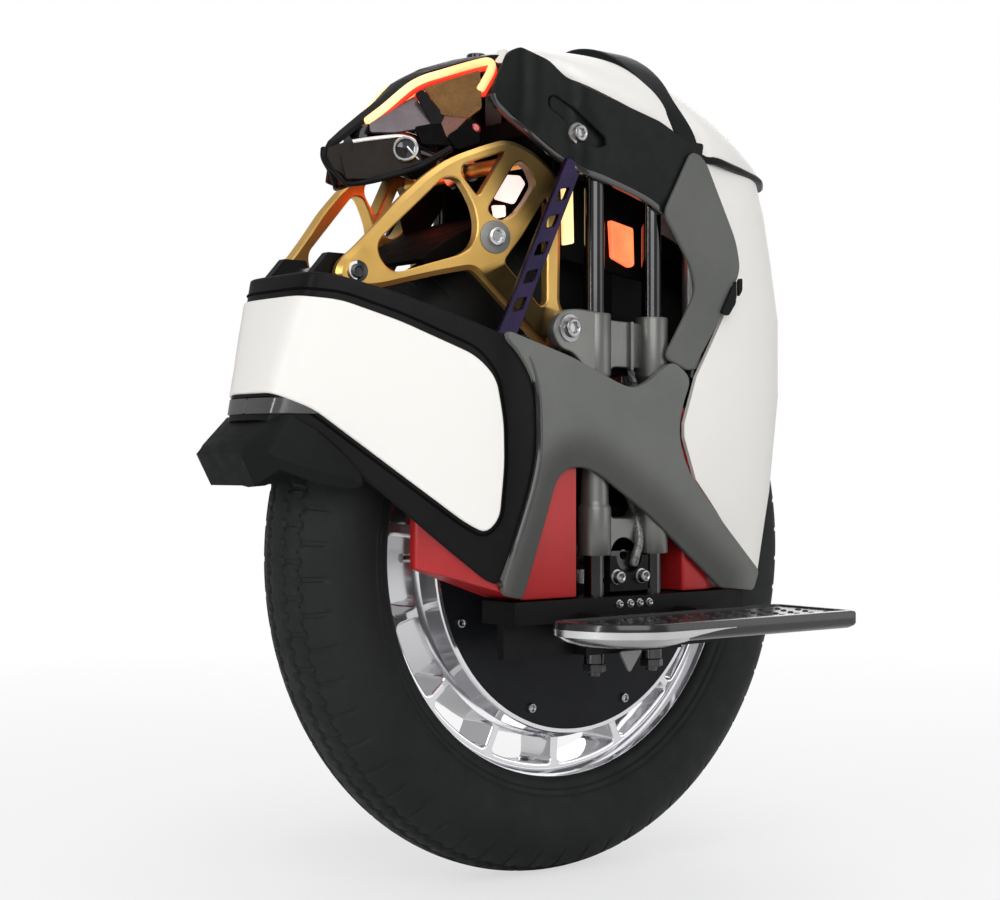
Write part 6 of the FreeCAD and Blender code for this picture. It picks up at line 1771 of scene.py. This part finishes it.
@dataclass
class GlowPanels:
    """Lit panels seen past the rods and through the arm, with dark sheets of painted shadow behind them, in
    millimetres.
    """

    strip: Slice = Slice(((39, 480), (30, 480), (29, 442), (38, 440)), 1.5, 62.5, 66, 0.6)
    panel: Slice = Slice(((-5, 461), (-27, 457), (-28, 431), (-24, 429), (-7, 435)), 1.8, 62.5, 66, 0.4)
    window: Slice = Slice(((64, 487), (59, 482), (69, 467), (86, 469), (80, 486)), 2, 47.4, 49.9, 0.5)
    pane: Slice = Slice(((88, 464.5), (77, 465.5), (76.5, 458), (86, 455.5)), 1.4, 47.4, 49.9, 0.3)
    carrier: Slice = Slice(
        ((56, 488), (55, 478), (74, 452), (90, 452), (94, 466), (84, 488)), 3, 45.6, 48, 0.6,
    )
    back: Slice = Slice(((44, 500), (44, 432), (-44, 420), (-44, 500)), 4, 59, 62.6, 0.8)

    def build(self) -> None:
        """Thin diffusers on dark carriers, and dark back plates; the carriers and back plates are painted
        shadow.
        """
        for name, parts, finish, stands_for, slot in (
            ("amber_strips", [self.strip], Paint.strip_glow, [], "light_orange"),
            ("red_panels", [self.panel], Paint.panel_glow, ["glow_lamps"], "light_orange"),
            ("arm_window_lights", [self.window, self.pane], Paint.pink_glow, [], "light_orange"),
            ("arm_window_shadow_carriers", [self.carrier], Paint.black_and_shadow, [], "frame_black"),
            ("glow_shadow_backings", [self.back], Paint.black_and_shadow, [], "frame_black"),
        ):
            surface = joined(*[part.made() for part in parts])
            piece(name, surface.both(), finish, "chassis", stands_for, slot)


@dataclass
class ChargeCover:
    """The small cover over the charging socket, in millimetres."""

    leaf: Slice = Slice(
        ((-93.6, 419.5), (-90.5, 417), (-79, 398), (-86, 396), (-93.6, 405.5)), 1.8, 99.7, 102.2, 0.15,
    )
    block: Slice = Slice(((-101, 424), (-97.2, 423), (-97.2, 410.2), (-101, 415)), 1.8, 99.4, 101.6, 0.15)
    barrel: Sequence = ((0, 409), (1.0, 409), (1.1, 409.2), (1.1, 420.8), (1.0, 421), (0, 421))
    hinge: Sequence[float] = (-94, 100.8, 0)

    def build(self) -> None:
        """A slanted leaf with its hinge barrel, and the fixed block beside it."""
        piece("charge_hinge_block", self.block.made(), Paint.flap, "chassis", slot="frame_black")
        leaf = joined(self.leaf.made(), turned(self.barrel, self.hinge, UP, 16))
        piece("charge_cover", leaf, Paint.flap, "charge_cap", ["charge_cap"], "frame_black")


@dataclass
class Studio:
    """Pale floor, white surround, soft lamps and the camera, in metres."""

    eye: Sequence[float] = (0.85526, 0.98392, 0.28920)
    right: Sequence[float] = (-0.7702, 0.6378, 0.0003)
    up: Sequence[float] = (0.006, 0.0067, 1.0)
    back: Sequence[float] = (0.6378, 0.7702, -0.009)
    lens: float = 64.86
    floor_half: float = 30.0
    floor_tones: Sequence = ((0.3, (0.86, 0.86, 0.86)), (0.7, (0.88, 0.88, 0.88)))
    soft_light: float = 0.42
    middle: Sequence[float] = (0, 0, 0.35)
    lamp_rows: Sequence = (
        ("key", (1.1, 1.9, 1.3), (1.6, 1.6), 22),
        ("strip", (1.7, 0.25, 0.55), (0.14, 1.5), 7),
        ("fill", (-1.4, 1.7, 0.7), (1.2, 1.4), 6),
        ("top", (-0.1, 0.2, 2.2), (1.8, 1.8), 12),
        ("behind", (-1.6, -1.5, 1.1), (1.4, 1.4), 12),
    )
    spark_rows: Sequence = ((0.086, 0.03, 0.478, 0.010), (0.118, 0.012, 0.53, 0.004))
    spark_colour: Colour = (1.0, 0.12, 0.04)
    spark_size: float = 0.01

    def build(self) -> None:
        """Camera first, then the floor, the surround and the lamps."""
        self.camera()
        self.floor()
        self.surround()
        self.lamps()
        bpy.context.scene.view_settings.view_transform = "Standard"

    def camera(self) -> None:
        """The camera at the photograph's viewing angle."""
        data = bpy.data.cameras.new("camera")
        data.lens = self.lens
        data.sensor_width = 36
        data.sensor_fit = "HORIZONTAL"
        item = bpy.data.objects.new("camera", data)
        columns = np.array([self.right, self.up, self.back]).T
        item.matrix_world = Matrix.Translation(self.eye) @ Matrix(columns.tolist()).to_4x4()
        bpy.context.scene.collection.objects.link(item)
        bpy.context.scene.camera = item

    def floor(self) -> None:
        """A wide floor that shows nearly white to the camera and keeps the shadow."""
        side = np.linspace(-self.floor_half, self.floor_half, 3)
        x, y = np.meshgrid(side, side)
        surface = sheet_grid(np.stack([x, y, np.zeros_like(x)], -1))
        mesh = bpy.data.meshes.new("floor")
        mesh.from_pydata(surface.points.tolist(), [], surface.quads.tolist())
        n = Nodes("floor_paper")
        n.set(Roughness=0.9, Specular_IOR_Level=0.1)
        tone = n.noise(n.place, 0.6, 2)
        n.link(n.ramp(tone, self.floor_tones), n.shader.inputs["Base Color"])
        path = n.add("ShaderNodeLightPath")
        lit = n.add("ShaderNodeEmission")
        lit.inputs["Strength"].default_value = 1.0
        mix = n.add("ShaderNodeMixShader")
        far = n.add("ShaderNodeVectorMath", operation="LENGTH")
        n.link(n.place, far.inputs[0])
        share = n.add("ShaderNodeMath", operation="MULTIPLY")
        n.link(n.spread(far.outputs["Value"], 0.62, 1.0, 0.3, 1.6), share.inputs[0])
        n.link(path.outputs["Is Camera Ray"], share.inputs[1])
        n.link(share.outputs[0], mix.inputs["Fac"])
        n.link(n.shader.outputs[0], mix.inputs[1])
        n.link(lit.outputs[0], mix.inputs[2])
        n.link(mix.outputs[0], n.tree.nodes["Material Output"].inputs["Surface"])
        mesh.materials.append(n.material)
        item = bpy.data.objects.new("floor", mesh)
        bpy.context.scene.collection.objects.link(item)

    def surround(self) -> None:
        """A white surround for what is seen in it, softer as light."""
        world = bpy.data.worlds.new("surround")
        world.use_nodes = True
        bpy.context.scene.world = world
        tree = world.node_tree
        ground = tree.nodes["Background"]
        ground.inputs["Color"].default_value = (1, 1, 1, 1)
        path = tree.nodes.new("ShaderNodeLightPath")
        seen = tree.nodes.new("ShaderNodeMath")
        seen.operation = "MAXIMUM"
        span = tree.nodes.new("ShaderNodeMapRange")
        span.inputs["To Min"].default_value = self.soft_light
        tree.links.new(path.outputs["Is Camera Ray"], seen.inputs[0])
        tree.links.new(path.outputs["Is Transmission Ray"], seen.inputs[1])
        tree.links.new(seen.outputs[0], span.inputs["Value"])
        tree.links.new(span.outputs["Result"], ground.inputs["Strength"])

    def lamp(self, name: str, place: Sequence[float], size: Sequence[float], power: float) -> None:
        """One soft rectangular lamp that looks at the middle of the part."""
        data = bpy.data.lights.new(name, "AREA")
        data.shape = "RECTANGLE"
        data.size, data.size_y = size
        data.energy = power
        item = bpy.data.objects.new(name, data)
        turn = (Vector(self.middle) - Vector(place)).to_track_quat("-Z", "Y")
        item.matrix_world = Matrix.Translation(place) @ turn.to_matrix().to_4x4()
        bpy.context.scene.collection.objects.link(item)

    def lamps(self) -> None:
        """A broad key, a strip that draws lines on the rods, softer lamps, and sparks on both sides."""
        for row in self.lamp_rows:
            self.lamp(*row)
        for number, (x, y, z, power) in enumerate(self.spark_rows):
            for side in (-1, 1):
                self.spark(f"spark_{number}_{side}", (x, y * side, z), power)

    def spark(self, name: str, place: Sequence[float], power: float) -> None:
        """A small red point of light that tints what is round the lit panels."""
        data = bpy.data.lights.new(name, "POINT")
        data.energy = power
        data.color = self.spark_colour
        data.shadow_soft_size = self.spark_size
        item = bpy.data.objects.new(name, data)
        item.location = place
        bpy.context.scene.collection.objects.link(item)


def main() -> None:
    """Build the scene in order."""
    Studio().build()
    dress_frame()
    for part in (
        Tyre(), Rim(), Sliders(), Fixings(), SidePanels(), Nose(), SwingArm(), Visor(), Struts(), Guards(),
        TopShell(), GlowPanels(), ChargeCover(), Pedals(),
    ):
        part.build()


if __name__ == "__main__":
    main()
